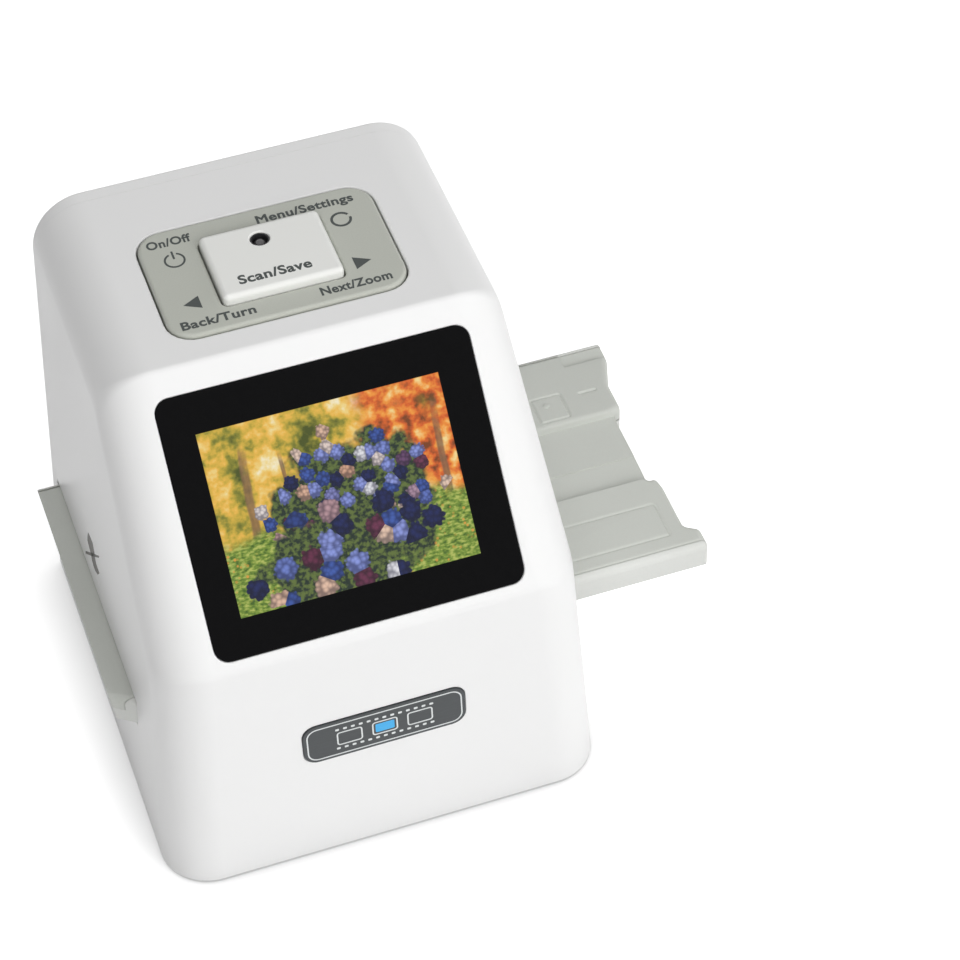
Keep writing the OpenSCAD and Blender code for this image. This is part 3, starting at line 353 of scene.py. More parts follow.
def side_view(case, inset, rear_inset, foot, steps):
    """The case's side view, moved in by each inset and at the rear by each rear inset, as
    (insets, points, 2) of Y and Z."""
    front, rear = -case.front_reach, case.depth - case.front_reach
    toe = np.array([front, 0.0])
    ridge = np.array([front + case.ridge_setback, case.ridge_height])
    brow = np.array([front + case.brow_setback, case.height])
    rear_top = np.array([rear - case.rear_lean, case.height])
    heel = np.array([rear, 0.0])
    grow, rear_grow = 0.55 * inset, 0.55 * rear_inset
    corners = [
        soft_corner(toe, ridge, brow, inset, inset, case.ridge_radius + grow, steps),
        soft_corner(ridge, brow, rear_top, inset, inset, case.brow_radius + grow, steps),
        soft_corner(brow, rear_top, heel, inset, rear_inset, case.rear_radius + rear_grow, steps),
    ]
    low = corners[0][:, :1] + (toe - ridge) * ((foot - corners[0][:, :1, 1:]) / (toe - ridge)[1])
    low_rear = corners[2][:, -1:] + (heel - rear_top) * (
        (foot - corners[2][:, -1:, 1:]) / (heel - rear_top)[1]
    )
    return np.concatenate([low, *corners, low_rear], axis=1)


def half_width(case, z):
    """Half of the case's width at a height: the side walls lean inwards."""
    return (case.foot_width - (case.foot_width - case.top_width) * z / case.height) / 2


def case_solid(case, inset, foot, rim_steps=20, arc_steps=8):
    """The case as one solid. Ring by ring from the left wall to the right one, the side view
    moves in by inset + r (1 - cos a) as x runs out to half width - inset - r + r sin a. At the
    rear it moves in by the rear rim's radius instead of r."""
    r, rear_r = case.rim - inset, max(case.rear_rim - inset, case.rear_rim / 2)
    turn = np.linspace(np.pi / 2, 0, rim_steps + 1)
    turn, side = np.concatenate([turn, turn[::-1]]), np.repeat([-1, 1], rim_steps + 1)
    away = 1 - np.cos(turn)
    outline = side_view(case, inset + r * away, inset + rear_r * away, foot, arc_steps)
    reach = half_width(case, outline[..., 1]) - inset - r + (r * np.sin(turn))[:, None]
    return loft(np.concatenate([(side[:, None] * reach)[..., None], outline], axis=-1))


def rear_face(case, z):
    """The rear wall's Y at a height."""
    return case.depth - case.front_reach - case.rear_lean * z / case.height


def screen_plane(case, drop=1.6):
    """The tilt of the screen face and the middle of the window on it."""
    rise = case.height - case.ridge_height
    run = case.brow_setback - case.ridge_setback
    tilt = math.atan2(rise, run)
    y = -case.front_reach + (case.ridge_setback + case.brow_setback) / 2 - drop * math.cos(tilt)
    z = (case.ridge_height + case.height) / 2 - drop * math.sin(tilt)
    return tilt, (0.0, y, z)


def plate_plane(case, height=33.6):
    """The tilt of the front and the middle of the nameplate on it."""
    y = -case.front_reach + case.ridge_setback * height / case.ridge_height
    return math.pi / 2 - math.atan2(case.ridge_setback, case.ridge_height), (0.0, y, height)


# ---------- meshes ----------


def mesh_of(name, shapes):
    """One mesh from several (vertices, faces) in millimetres."""
    starts = np.cumsum([0] + [len(shape[0]) for shape in shapes])
    vertices = np.concatenate([shape[0] for shape in shapes]) * MM
    faces = [[int(start) + v for v in face] for shape, start in zip(shapes, starts) for face in shape[1]]
    mesh = bpy.data.meshes.new(name)
    mesh.from_pydata(vertices, [], faces)
    mesh.update()
    return mesh


def new_piece(name, *shapes):
    piece = bpy.data.objects.new(name, mesh_of(name, shapes))
    bpy.context.scene.collection.objects.link(piece)
    return piece


def settle(piece):
    """Puts the piece's modifiers into its mesh."""
    graph = bpy.context.evaluated_depsgraph_get()
    graph.update()
    mesh = bpy.data.meshes.new_from_object(piece.evaluated_get(graph), depsgraph=graph)
    piece.modifiers.clear()
    old, piece.data = piece.data, mesh
    bpy.data.meshes.remove(old)
    if not len(mesh.polygons):
        raise RuntimeError(f"{piece.name} has no faces left")


def carve(piece, *shapes, operation="DIFFERENCE"):
    """Cuts each shape out of the piece, or adds it, one after another."""
    for shape in shapes:
        tool = new_piece("tool", shape)
        modifier = piece.modifiers.new("carve", "BOOLEAN")
        modifier.operation, modifier.solver, modifier.object = operation, "EXACT", tool
        settle(piece)
        mesh = tool.data
        bpy.data.objects.remove(tool)
        bpy.data.meshes.remove(mesh)


def finish(piece, body, surface, nodes=(), crease=32, soften=0.0):
    """Softens the hard edges, shades the rest smooth with flat faces kept flat, and ties the
    piece to its body, hiding the nodes that it stands for."""
    if soften:
        modifier = piece.modifiers.new("soften", "BEVEL")
        modifier.width, modifier.segments = soften * MM, 2
        modifier.limit_method, modifier.angle_limit = "ANGLE", math.radians(crease + 8)
        settle(piece)
    piece.data.shade_smooth()
    piece.data.set_sharp_from_angle(angle=math.radians(crease))
    modifier = piece.modifiers.new("even shading", "WEIGHTED_NORMAL")
    modifier.keep_sharp = True
    settle(piece)
    piece.data.materials.clear()
    piece.data.materials.append(surface)
    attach(piece, body)
    if nodes:
        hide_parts(*nodes)
    return piece


# ---------- materials ----------


class Wire:
    """A value on its way through a material: arithmetic on it adds Math nodes. The operators
    come with their reflected forms, so 1 - mask and 0.5 < mask work too."""

    def __init__(self, maker, socket):
        self.maker, self.socket = maker, socket

    def _math(self, operation, *values):
        inputs = dict(enumerate(values))
        return self.maker.node("ShaderNodeMath", {"operation": operation}, inputs)

    def __add__(self, other):
        return self._math("ADD", self, other)

    def __sub__(self, other):
        return self._math("SUBTRACT", self, other)

    def __rsub__(self, other):
        return self._math("SUBTRACT", other, self)

    def __mul__(self, other):
        return self._math("MULTIPLY", self, other)

    def __truediv__(self, other):
        return self._math("DIVIDE", self, other)

    def __rtruediv__(self, other):
        return self._math("DIVIDE", other, self)

    def __gt__(self, other):
        return self._math("GREATER_THAN", self, other)

    def __lt__(self, other):
        return self._math("LESS_THAN", self, other)

    def __abs__(self):
        return self._math("ABSOLUTE", self)

    def power(self, other):
        return self._math("POWER", self, other)

    __radd__, __rmul__ = __add__, __mul__


class Finish:
    """One material and the nodes behind its shader."""

    def __init__(self, name):
        self.material = bpy.data.materials.new(name)
        self.material.use_nodes = True
        self.tree = self.material.node_tree
        self.shader = self.tree.nodes["Principled BSDF"]
        self.out = self.tree.nodes["Material Output"]

    def node(self, kind, settings=None, inputs=None, output=0):
        """Adds a node: its settings first, a ramp's stops among them, then the values or links
        of its sockets, by name or number. Returns the named or numbered output."""
        node = self.tree.nodes.new(kind)
        for name, value in (settings or {}).items():
            if name == "stops":
                ramp = node.color_ramp.elements
                while len(ramp) < len(value):
                    ramp.new(0.5)
                for stop, (position, tint) in zip(ramp, value):
                    stop.position, stop.color = position, (*tint, 1)
            else:
                setattr(node, name, value)
        for name, value in (inputs or {}).items():
            self.feed(node.inputs[name], value)
        return Wire(self, node.outputs[output])

    def feed(self, socket, value):
        if isinstance(value, Wire):
            self.tree.links.new(value.socket, socket)
        elif socket.type == "RGBA":
            socket.default_value = (*value, 1)
        else:
            socket.default_value = value

    def set(self, **sockets):
        """Sets the shader's sockets, whose names are written with _ for a blank."""
        for name, value in sockets.items():
            self.feed(self.shader.inputs[name.replace("_", " ")], value)
        return self.material

    def place(self):
        """Object coordinates, in metres."""
        return self.node("ShaderNodeTexCoord", output="Object")

    def noise(self, size, detail=2.0, rough=0.5, place=None, output="Fac", distortion=0.0):
        """Noise whose grains are about the given size in millimetres."""
        return self.node(
            "ShaderNodeTexNoise",
            None,
            {
                "Vector": place or self.place(),
                "Scale": 1 / (size * MM),
                "Detail": detail,
                "Roughness": rough,
                "Distortion": distortion,
            },
            output,
        )

    def mix(self, share, first, second, blend="MIX"):
        """A colour between two."""
        settings = {"data_type": "RGBA", "blend_type": blend}
        return self.node("ShaderNodeMix", settings, {0: share, 6: first, 7: second}, 2)

    def step(self, value, low, high):
        """A smooth step from 0 at the low value to 1 at the high one."""
        settings = {"interpolation_type": "SMOOTHSTEP"}
        inputs = {"Value": value, "From Min": low, "From Max": high}
        return self.node("ShaderNodeMapRange", settings, inputs)

    def ramp(self, value, stops):
        return self.node("ShaderNodeValToRGB", {"stops": stops}, {0: value}, "Color")

    def bump(self, height, strength, distance):
        """A bump of the given distance in millimetres."""
        inputs = {"Height": height, "Strength": strength, "Distance": distance * MM}
        return self.node("ShaderNodeBump", None, inputs)


def shade(rgb, factor):
    return tuple(min(1.0, c * factor) for c in rgb)


def moulded(name, rgb, grain=0.35, depth=0.02, rough=0.38, mottle=0.03, speckle=0.0, specular=0.5):
    """Moulded plastic: slow changes of tone, a fine grain in colour, gloss and height."""
    m = Finish(name)
    slow, fine = m.noise(18, 3), m.noise(grain, 3, 0.6)
    tone = m.mix(slow, shade(rgb, 1 - mottle), shade(rgb, 1 + mottle))
    if speckle:
        tone = m.mix(m.step(fine, 0.42, 0.62) * speckle, tone, shade(rgb, 0.72))
    return m.set(
        Base_Color=tone,
        Roughness=rough + (slow - 0.5) * 0.1 + (fine - 0.5) * 0.12,
        Specular_IOR_Level=specular,
        Normal=m.bump(fine, 0.35, depth),
    )


def adapter_plastic(name, rgb):
    return moulded(name, rgb, grain=0.45, depth=0.015, mottle=0.015, speckle=0.05, rough=0.42)


def rubber(name, rgb):
    m = Finish(name)
    fine, pores = m.noise(0.5, 4, 0.7), m.noise(2.5, 2)
    return m.set(
        Base_Color=m.mix(pores, shade(rgb, 0.8), shade(rgb, 1.5)),
        Roughness=0.7 + fine * 0.2,
        Normal=m.bump(fine, 0.5, 0.05),
    )


def metal(name, rgb, rough=0.32):
    """Plated steel, with fine drawn lines and a little tarnish."""
    m = Finish(name)
    stretch = m.node("ShaderNodeMapping", None, {"Vector": m.place(), "Scale": (1.0, 1.0, 14.0)})
    lines, stain = m.noise(1.2, 3, 0.7, place=stretch), m.noise(4, 3)
    return m.set(
        Base_Color=m.mix(stain, shade(rgb, 0.82), rgb),
        Metallic=1.0,
        Roughness=rough + (lines - 0.5) * 0.2,
        Normal=m.bump(lines, 0.2, 0.01),
    )


def circuit_board(name):
    """Green solder mask over copper runs, with tinned pads."""
    m = Finish(name)
    runs = m.node(
        "ShaderNodeTexBrick",
        {"offset": 0.5, "squash": 1.0},
        {"Vector": m.place(), "Scale": 1 / (6 * MM), "Mortar Size": 0.05, "Brick Width": 0.8},
        "Fac",
    )
    dots = m.node(
        "ShaderNodeTexVoronoi", None, {"Vector": m.place(), "Scale": 1 / (2.4 * MM)}, "Distance"
    )
    pads = 1 - m.step(dots, 0.12, 0.2)
    green = m.mix(runs, (0.012, 0.12, 0.05), (0.03, 0.24, 0.1))
    return m.set(
        Base_Color=m.mix(pads, green, (0.62, 0.6, 0.52)),
        Roughness=0.32 + pads * 0.1 + m.noise(0.6) * 0.08,
        Metallic=pads * 0.8,
        Normal=m.bump(runs + pads, 0.4, 0.03),
    )


def clear_lens(name, tint, rough=0.04):
    """Clear moulded or ground glass, with faint haze."""
    m = Finish(name)
    haze = m.noise(3, 3)
    return m.set(
        Base_Color=m.mix(haze, shade(tint, 0.94), tint),
        Roughness=rough + haze * 0.04,
        Transmission_Weight=0.7,
        IOR=1.5,
    )


def lamp_epoxy(name):
    """A dark lamp's lens: smoky, a little paler in fine patches."""
    m = Finish(name)
    return m.set(
        Base_Color=m.mix(m.noise(0.9, 2), (0.03, 0.028, 0.03), (0.1, 0.095, 0.1)),
        Roughness=0.12 + m.noise(0.4) * 0.06,
        Coat_Weight=0.6,
    )


def autumn_garden(m, across, up):
    """A garden in autumn for the display: across runs 0 to 1.333 and up 0 to 1. Out-of-focus
    trees and a lawn lie behind two beds of blooms. A bloom is one Voronoi cell, there where its
    centre lies inside the bed, with a random colour and petals in rings around the centre."""
    here = m.node("ShaderNodeCombineXYZ", None, {0: across, 1: up})

    def grain(scale, detail=3.0, stretch=(1.0, 1.0, 1.0), shift=0.0):
        settings = {"Vector": here, "Scale": stretch, "Location": (shift, shift, shift)}
        place = m.node("ShaderNodeMapping", None, settings)
        inputs = {"Vector": place, "Scale": scale, "Detail": detail}
        return m.node("ShaderNodeTexNoise", None, inputs, "Fac")

    def cells(vector, scale):
        settings, inputs = {"voronoi_dimensions": "2D"}, {"Vector": vector, "Scale": scale}
        return m.node("ShaderNodeTexVoronoi", settings, inputs, "Distance")

    def parts(vector):
        split = m.node("ShaderNodeSeparateXYZ", None, {0: vector})
        return split, Wire(m, split.socket.node.outputs[1])

    trees = m.ramp(
        grain(4.2, 1) * 0.55 + grain(10, 2) * 0.45 + (grain(30, 3) - 0.5) * 0.25,
        [
            (0.34, (0.07, 0.09, 0.012)),
            (0.42, (0.26, 0.25, 0.03)),
            (0.48, (0.60, 0.42, 0.05)),
            (0.54, (0.86, 0.50, 0.08)),
            (0.61, (0.90, 0.68, 0.24)),
            (0.70, (0.97, 0.93, 0.74)),
        ],
    )
    maples = m.ramp(
        grain(12, 3, shift=3.0),
        [
            (0.36, (0.20, 0.05, 0.01)),
            (0.48, (0.72, 0.13, 0.02)),
            (0.58, (0.92, 0.34, 0.05)),
            (0.70, (0.95, 0.72, 0.30)),
        ],
    )
    turning = m.step(across + up * 0.25 + (grain(3, 2, shift=7.0) - 0.5) * 1.4, 0.98, 1.3)
    picture = m.mix(turning, trees, maples)

    bark = m.mix(grain(16, 2, (3.0, 0.6, 1.0)), (0.10, 0.05, 0.025), (0.36, 0.2, 0.1))
    for x, wide, lean in ((0.17, 0.030, 0.05), (0.43, 0.014, -0.03), (1.24, 0.024, 0.03)):
        sway = (grain(2.4, 1, (0.01, 1.0, 1.0)) - 0.5) * 0.06
        middle = abs(across - (up * lean + x) + sway)
        trunk = (1 - m.step(middle, wide * 0.5, wide)) * (1 - m.step(up + grain(9) * 0.5, 0.95, 1.15))
        picture = m.mix(trunk * 0.85, picture, bark)

    grass = m.ramp(
        grain(30, 3, (1.0, 1.8, 1.0)),
        [(0.34, (0.06, 0.13, 0.015)), (0.5, (0.2, 0.31, 0.04)), (0.64, (0.46, 0.52, 0.12))],
    )
    leaf = m.node("ShaderNodeTexVoronoi", None, {"Vector": here, "Scale": 30.0}, "Distance")
    grass = m.mix((1 - m.step(leaf, 0.16, 0.32)) * m.step(grain(5), 0.4, 0.6), grass, (0.70, 0.36, 0.06))
    picture = m.mix(m.step(0.40 - up + (grain(6, 3) - 0.5) * 0.2, -0.03, 0.05), picture, grass)

    beds = ((12.0, 0.74, 0.50, 0.47, 0.33, 0.0), (8.0, 0.62, 0.20, 0.50, 0.25, 5.0))
    for scale, x, y, wide, high, shift in beds:
        place = m.node("ShaderNodeMapping", None, {"Vector": here, "Location": (shift, shift, 0.0)})
        bloom = cells(place, scale)
        cell = bloom.socket.node
        centre_x, centre_y = parts(Wire(m, cell.outputs["Position"]))
        dx, dy = (centre_x - (x + shift)) / wide, (centre_y - (y + shift)) / high
        chance, other = parts(Wire(m, cell.outputs["Color"]))
        planted = (dx * dx + dy * dy + (other - 0.5) * 0.7) < 0.95
        tint = m.ramp(
            chance,
            [
                (0.14, (0.012, 0.02, 0.11)),
                (0.17, (0.05, 0.11, 0.42)),
                (0.34, (0.06, 0.12, 0.45)),
                (0.37, (0.26, 0.33, 0.78)),
                (0.50, (0.30, 0.36, 0.80)),
                (0.53, (0.13, 0.02, 0.06)),
                (0.68, (0.20, 0.05, 0.11)),
                (0.71, (0.46, 0.30, 0.42)),
                (0.80, (0.74, 0.42, 0.28)),
                (0.88, (0.86, 0.62, 0.48)),
                (0.92, (0.82, 0.82, 0.86)),
            ],
        )
        petal = cells(here, scale * 4.2)
        ragged = bloom + (petal - 0.35) * 0.22 + (grain(24, 2) - 0.5) * 0.2
        shape = 1 - m.step(ragged, 0.46, 0.56)
        light = (0.9 - bloom - petal * 0.7) + (up - centre_y + shift) * scale * 0.3
        dark = m.mix(1.0, tint, (0.3, 0.3, 0.34), "MULTIPLY")
        flower = m.mix(m.step(light, 0.05, 0.8), dark, tint)
        dx, dy = (across - x) / wide, (up - y) / high
        bed = 1 - m.step(dx * dx + dy * dy + (grain(7, 3, shift=shift) - 0.5) * 1.6, 0.7, 0.95)
        leafage = m.mix(m.step(grain(36, 3), 0.4, 0.62), (0.015, 0.03, 0.02), (0.12, 0.17, 0.04))
        picture = m.mix(bed, picture, leafage)
        picture = m.mix(planted * shape, picture, flower)
    return picture


def display_glass(name, case):
    """The display's black window with its lit picture: the picture lies in the window's own
    plane, found from Object coordinates by dot products with the plane's two axes."""
    m = Finish(name)
    tilt, middle = screen_plane(case)
    lift = (0.0, math.cos(tilt), math.sin(tilt))
    wide, high = PICTURE_WIDTH, PICTURE_HEIGHT

    def vector(operation, first, second, output=0):
        settings, inputs = {"operation": operation}, {0: first, 1: second}
        return m.node("ShaderNodeVectorMath", settings, inputs, output)

    def along(axis, offset):
        place = vector("SUBTRACT", m.place(), Vector(middle) * MM)
        return vector("DOT_PRODUCT", place, axis, "Value") / (high * MM) - offset

    across = along((1.0, 0.0, 0.0), (PICTURE_SHIFT[0] - wide / 2) / high)
    up = along(lift, (PICTURE_SHIFT[1] - high / 2) / high)
    inside = (
        m.step(across, 0.0, 0.004)
        * m.step(wide / high - across, 0.0, 0.004)
        * m.step(up, 0.0, 0.004)
        * m.step(1.0 - up, 0.0, 0.004)
    )
    black = (0.0022, 0.0022, 0.0025)
    lit = m.mix(inside, (0.0, 0.0, 0.0), autumn_garden(m, across, up))
    dust = m.noise(1.4, 3)
    return m.set(
        Base_Color=m.mix(inside, m.mix(dust, black, shade(black, 1.6)), (0.02, 0.02, 0.02)),
        Roughness=0.06 + dust * 0.04,
        Specular_IOR_Level=0.06,
        Emission_Color=lit,
        Emission_Strength=0.9,
    )


def brushed_plate(name, rgb):
    """Dark anodised plate with brushed lines along X."""
    m = Finish(name)
    stretch = m.node("ShaderNodeMapping", None, {"Vector": m.place(), "Scale": (0.06, 1.0, 1.0)})
    lines = m.noise(0.25, 4, 0.7, place=stretch)
    return m.set(
        Base_Color=m.mix(lines, shade(rgb, 0.75), shade(rgb, 1.35)),
        Roughness=0.34 + lines * 0.16,
        Metallic=0.25,
        Normal=m.bump(lines, 0.3, 0.01),
    )


def printed(name, rgb):
    """Pad-printed ink, a little uneven."""
    m = Finish(name)
    fine = m.noise(0.3, 3, 0.7)
    return m.set(
        Base_Color=m.mix(fine, shade(rgb, 0.85), shade(rgb, 1.25)),
        Roughness=0.45 + fine * 0.15,
    )


def palette(colours, case):
    """Every finish by the record's slot names, and the few that have no slot of their own."""
    return {
        "white_case": moulded("White case plastic", colours.case, grain=0.4, mottle=0.006, rough=0.36),
        "white_key": moulded("White key plastic", colours.key, grain=0.3, mottle=0.01, rough=0.34),
        "screen_black": display_glass("Display window", case),
        "lcd_glass": moulded("Display module", (0.1, 0.105, 0.11), rough=0.3),
        "grey_pad": moulded(
            "Grey pad plastic", colours.pad, grain=0.3, mottle=0.02, speckle=0.12, rough=0.42
        ),
        # Painted light: the tray's finish is paler for the light on its front walls, and the cover's darker
        # for the shade on its top face.
        "adapter_grey": adapter_plastic("Adapter cover plastic", colours.adapter),
        "adapter_tray": adapter_plastic("Adapter tray plastic", colours.tray),
        "nameplate_charcoal": brushed_plate("Anodised nameplate", colours.plate),
        "foot_rubber": rubber("Foot rubber", (0.025, 0.025, 0.026)),
        "screw_steel": metal("Screw steel", (0.56, 0.56, 0.57)),
        "spring_steel": metal("Spring steel", (0.62, 0.61, 0.58), 0.26),
        "socket_metal": metal("Socket shell", (0.7, 0.7, 0.7), 0.24),
        "black_plastic": moulded("Black plastic", (0.022, 0.022, 0.024), grain=0.5, depth=0.04, rough=0.5),
        "circuit_board": circuit_board("Circuit board"),
        "chip_black": moulded("Chip resin", (0.03, 0.03, 0.032), grain=0.2, depth=0.02, rough=0.55),
        "lamp_lens": lamp_epoxy("Status lamp"),
        "optical_glass": clear_lens("Lens glass", (0.86, 0.93, 0.95)),
        "light_white": moulded("Light diffuser", (0.86, 0.87, 0.85), grain=0.25, rough=0.5),
        "ribbon_film": moulded("Amber ribbon film", (0.62, 0.33, 0.08), grain=1.2, rough=0.25, mottle=0.12),
        "wire_red": moulded("Red wire", (0.5, 0.03, 0.02), grain=0.6, rough=0.4),
        "print": printed("Grey print", colours.print),
        "inlay": metal("Pale inlay", colours.inlay, 0.3),
        "accent": printed("Blue enamel", colours.accent),
        "mark": moulded("Dark wall mark", (0.085, 0.08, 0.072), grain=0.4, rough=0.5),
    }


# ---------- operators ----------


def settings():
    return bpy.context.scene.film_scanner


finishes = {}


def material(slot):
    """The finish of a slot, made once."""
    if not finishes:
        finishes.update(palette(settings().colours, in_mm(settings().case)))
    return finishes[slot]


def shell(name, case):
    """The case's wall: the outer solid less the inner one."""
    piece = new_piece(name, case_solid(case, 0, case.lift))
    carve(piece, case_solid(case, case.wall, case.lift - 1))
    return piece


class SCANNER_OT_housing(bpy.types.Operator):
    """Builds the white housing with its openings"""

    bl_idname = "scanner.housing"
    bl_label = "Housing"

    def execute(self, context):
        case, front = in_mm(settings().case), in_mm(settings().front)
        adapter = in_mm(settings().adapter)
        far = case.foot_width
        piece = shell("case_housing", case)
        tilt, middle = screen_plane(case)
        ledge = tilted(slab(68, 53, 3, [(-4.05, 0), (-1.3, 0)]), tilt, middle)
        seat = slab(
            front.window_width + PLATE_GAP,
            front.window_height + PLATE_GAP,
            front.window_radius,
            soft_opening(-WINDOW_THICK, 0.0, 0.35),
        )
        view = moved(slab(51, 38.8, 1, [(-5, 0), (1, 0)]), *PICTURE_SHIFT)
        plate_tilt, plate_middle = plate_plane(case)
        recess = slab(
            front.plate_width + PLATE_GAP,
            front.plate_height + PLATE_GAP,
            3,
            soft_opening(-NAMEPLATE_SUNK, 0.0, 0.15),
        )
        pad_hole = slab(
            front.pad_width + MOVING_GAP,
            front.pad_depth + MOVING_GAP,
            front.pad_radius + MOVING_GAP / 2,
            soft_opening(case.height - 4, case.height, 0.45),
        )
        slot_y = (adapter.front - MOVING_GAP / 2, adapter.rear + MOVING_GAP / 2)
        slot = block((-far, far), slot_y, SLOT_HEIGHTS)
        tail = [(18.4, 48.1), (18.3, 47.8), (3.8, 34.9), (3.9, 35.2)]
        carve(piece, ledge, operation="UNION")
        carve(
            piece,
            block((-far, far), (case.seam - case.parting, far), (-1, 2 * case.height)),
            tilted(seat, tilt, middle),
            tilted(view, tilt, middle),
            tilted(recess, plate_tilt, plate_middle),
            moved(pad_hole, 0, front.pad_y, 0),
            slot,
            *wall_mark(case, -0.4, 0.3),
            on_left_wall(case, tail, -0.3, 0.08),
        )
        finish(piece, BODY, material("white_case"), ["housing"])
        # A dark strip sunk just under the wall in the mark's groove.
        inlay = new_piece("wall_mark_inlay", *wall_mark(case, 0.05, 0.3))
        finish(inlay, BODY, material("mark"))
        return {"FINISHED"}


def wall_mark(case, start, end):
    """The blade and the bar of the mark over the left slot, as thin strips from one depth to
    another under the side wall."""
    upper = [(14.0, 45.5), (11.7, 46.2), (9.7, 46.4), (8.7, 44.5), (8.4, 43.2), (7.6, 42.2), (6.0, 42.1)]
    lower = [(5.0, 42.1), (7.1, 39.4), (9.6, 38.1), (11.2, 38.1), (12.4, 38.8), (12.9, 40.0)]
    rear = [(14.4, 40.6), (15.5, 41.4), (15.0, 43.1)]
    bar = [(3.8, 48.5), (4.6, 47.1), (11.9, 40.2), (18.6, 34.2), (18.3, 35.3), (11.2, 41.9)]
    return [on_left_wall(case, strip, start, end) for strip in (upper + lower + rear, bar)]


def on_left_wall(case, strip, start, end):
    """A flat strip of the left wall, given as (y, z), from one depth under the wall to another."""
    points, faces = prism(strip, 0, 0, 1)
    wall = -half_width(case, points[:, 2])
    return np.stack([wall + start + points[:, 0] * (end - start), *points[:, 1:].T], axis=1), faces


class SCANNER_OT_rear(bpy.types.Operator):
    """Builds the rear cover with its socket openings and screw recesses"""

    bl_idname = "scanner.rear"
    bl_label = "Rear cover"

    def execute(self, context):
        case = in_mm(settings().case)
        far = case.foot_width
        screws = [(x, rear_face(case, z), z) for x, z in REAR_SCREWS]
        piece = shell("case_rear_cover", case)
        carve(piece, block((-far, far), (-far, case.seam + case.parting), (-1, 2 * case.height)))
        for x, width, height in SOCKETS:
            hole = slab(width + MOVING_GAP, height + MOVING_GAP, 0.4, soft_opening(-4, 0, 0.25))
            z = SOCKET_FLOOR + height / 2
            carve(piece, upright(hole, x, rear_face(case, z), z))
        for place in screws:
            carve(
                piece,
                upright(disc(2.9, [(-5, 0), (1, 0)]), *place),
                upright(disc(5.3, soft_opening(-1.4, 0, 0.2)), *place),
            )
        finish(piece, BODY, material("white_case"), ["rear_cover"])
        screw = disc(4.8, [(-9.4, -1.1), (-1.4, -1.1), *soft_plate(-1.4, -0.2, 0, 0.5)])
        heads = new_piece("rear_screw_set", *[upright(screw, *place) for place in screws])
        for place in screws:
            for width, height in [(2.6, 0.6), (0.6, 2.6)]:
                carve(heads, upright(slab(width, height, 0.1, [(-1.1, -0.1), (1, 0)], 2), *place))
        finish(heads, BODY, material("screw_steel"), ["rear_screws"])
        return {"FINISHED"}


def upright(shape, x, y, z):
    """A flat shape stood on the rear face: its height runs to the rear."""
    points, faces = shape
    return np.stack([-points[:, 0] + x, points[:, 2] + y, points[:, 1] + z], axis=1), faces


class SCANNER_OT_screen(bpy.types.Operator):
    """Builds the display window with its picture"""

    bl_idname = "scanner.screen"
    bl_label = "Display window"

    def execute(self, context):
        case, front = in_mm(settings().case), in_mm(settings().front)
        tilt, middle = screen_plane(case)
        profile = soft_plate(-WINDOW_THICK, -0.05, 0, 0.25)
        pane = slab(front.window_width, front.window_height, front.window_radius, profile)
        piece = new_piece("display_pane", tilted(pane, tilt, middle))
        finish(piece, BODY, material("screen_black"), ["display_window"])
        return {"FINISHED"}


class SCANNER_OT_nameplate(bpy.types.Operator):
    """Builds the blank nameplate with its border and film frames"""

    bl_idname = "scanner.nameplate"
    bl_label = "Nameplate"

    def execute(self, context):
        case, front = in_mm(settings().case), in_mm(settings().front)
        width, height = front.plate_width, front.plate_height

        def on_front(*shapes):
            return [tilted(shape, *plate_plane(case)) for shape in shapes]

        plate = slab(width, height, 3, soft_plate(-NAMEPLATE_SUNK, NAMEPLATE_PROUD, 0, 0.2))
        piece = new_piece("nameplate_blank", *on_front(plate))
        finish(piece, BODY, material("nameplate_charcoal"), ["nameplate"])
        low, high = INLAY
        border = band(width - 1.5, height - 1.5, 2.3, 0.28, low, high)
        frames = [moved(band(5.4, 3.8, 0.7, 0.3, low, high), x) for x in (-7.4, 0, 7.4)]
        hole = slab(0.8, 0.55, 0.15, [(low, 0), (high, 0)], 2)
        holes = [moved(hole, x, y) for x in np.arange(-9.9, 10, 1.65) for y in (-2.75, 2.75)]
        inlay = new_piece("nameplate_inlay", *on_front(border, *frames, *holes))
        finish(inlay, BODY, material("inlay"))
        window = slab(4.0, 2.4, 0.3, [(low, 0), (high - 0.02, 0)], 3)
        accent = new_piece("nameplate_accent", *on_front(window))
        finish(accent, BODY, material("accent"))
        return {"FINISHED"}


def legend(text, left, base, width, cap, top):
    """A word as a thin mesh: its capital height and width are set, its left foot placed."""
    curve = bpy.data.curves.new("legend", "FONT")
    curve.body, curve.extrude, curve.space_character = text, 0.02, 1.06
    curve.bevel_depth, curve.bevel_resolution = 0.03, 0
    letters = bpy.data.objects.new("legend", curve)
    bpy.context.scene.collection.objects.link(letters)
    graph = bpy.context.evaluated_depsgraph_get()
    mesh = bpy.data.meshes.new_from_object(letters.evaluated_get(graph))
    points = np.empty(len(mesh.vertices) * 3)
    mesh.vertices.foreach_get("co", points)
    points = points.reshape(-1, 3)
    faces = [list(face.vertices) for face in mesh.polygons]
    bpy.data.objects.remove(letters)
    bpy.data.curves.remove(curve)
    bpy.data.meshes.remove(mesh)
    low, high = points.min(0), points.max(0)
    font_capital = 0.73
    points = (points - (low[0], 0, 0)) * (width / (high[0] - low[0]), cap / font_capital, 1)
    points[:, 2] = np.where(points[:, 2] > 0, top + 0.03, top - 0.03)
    return points + (left, base, 0), faces


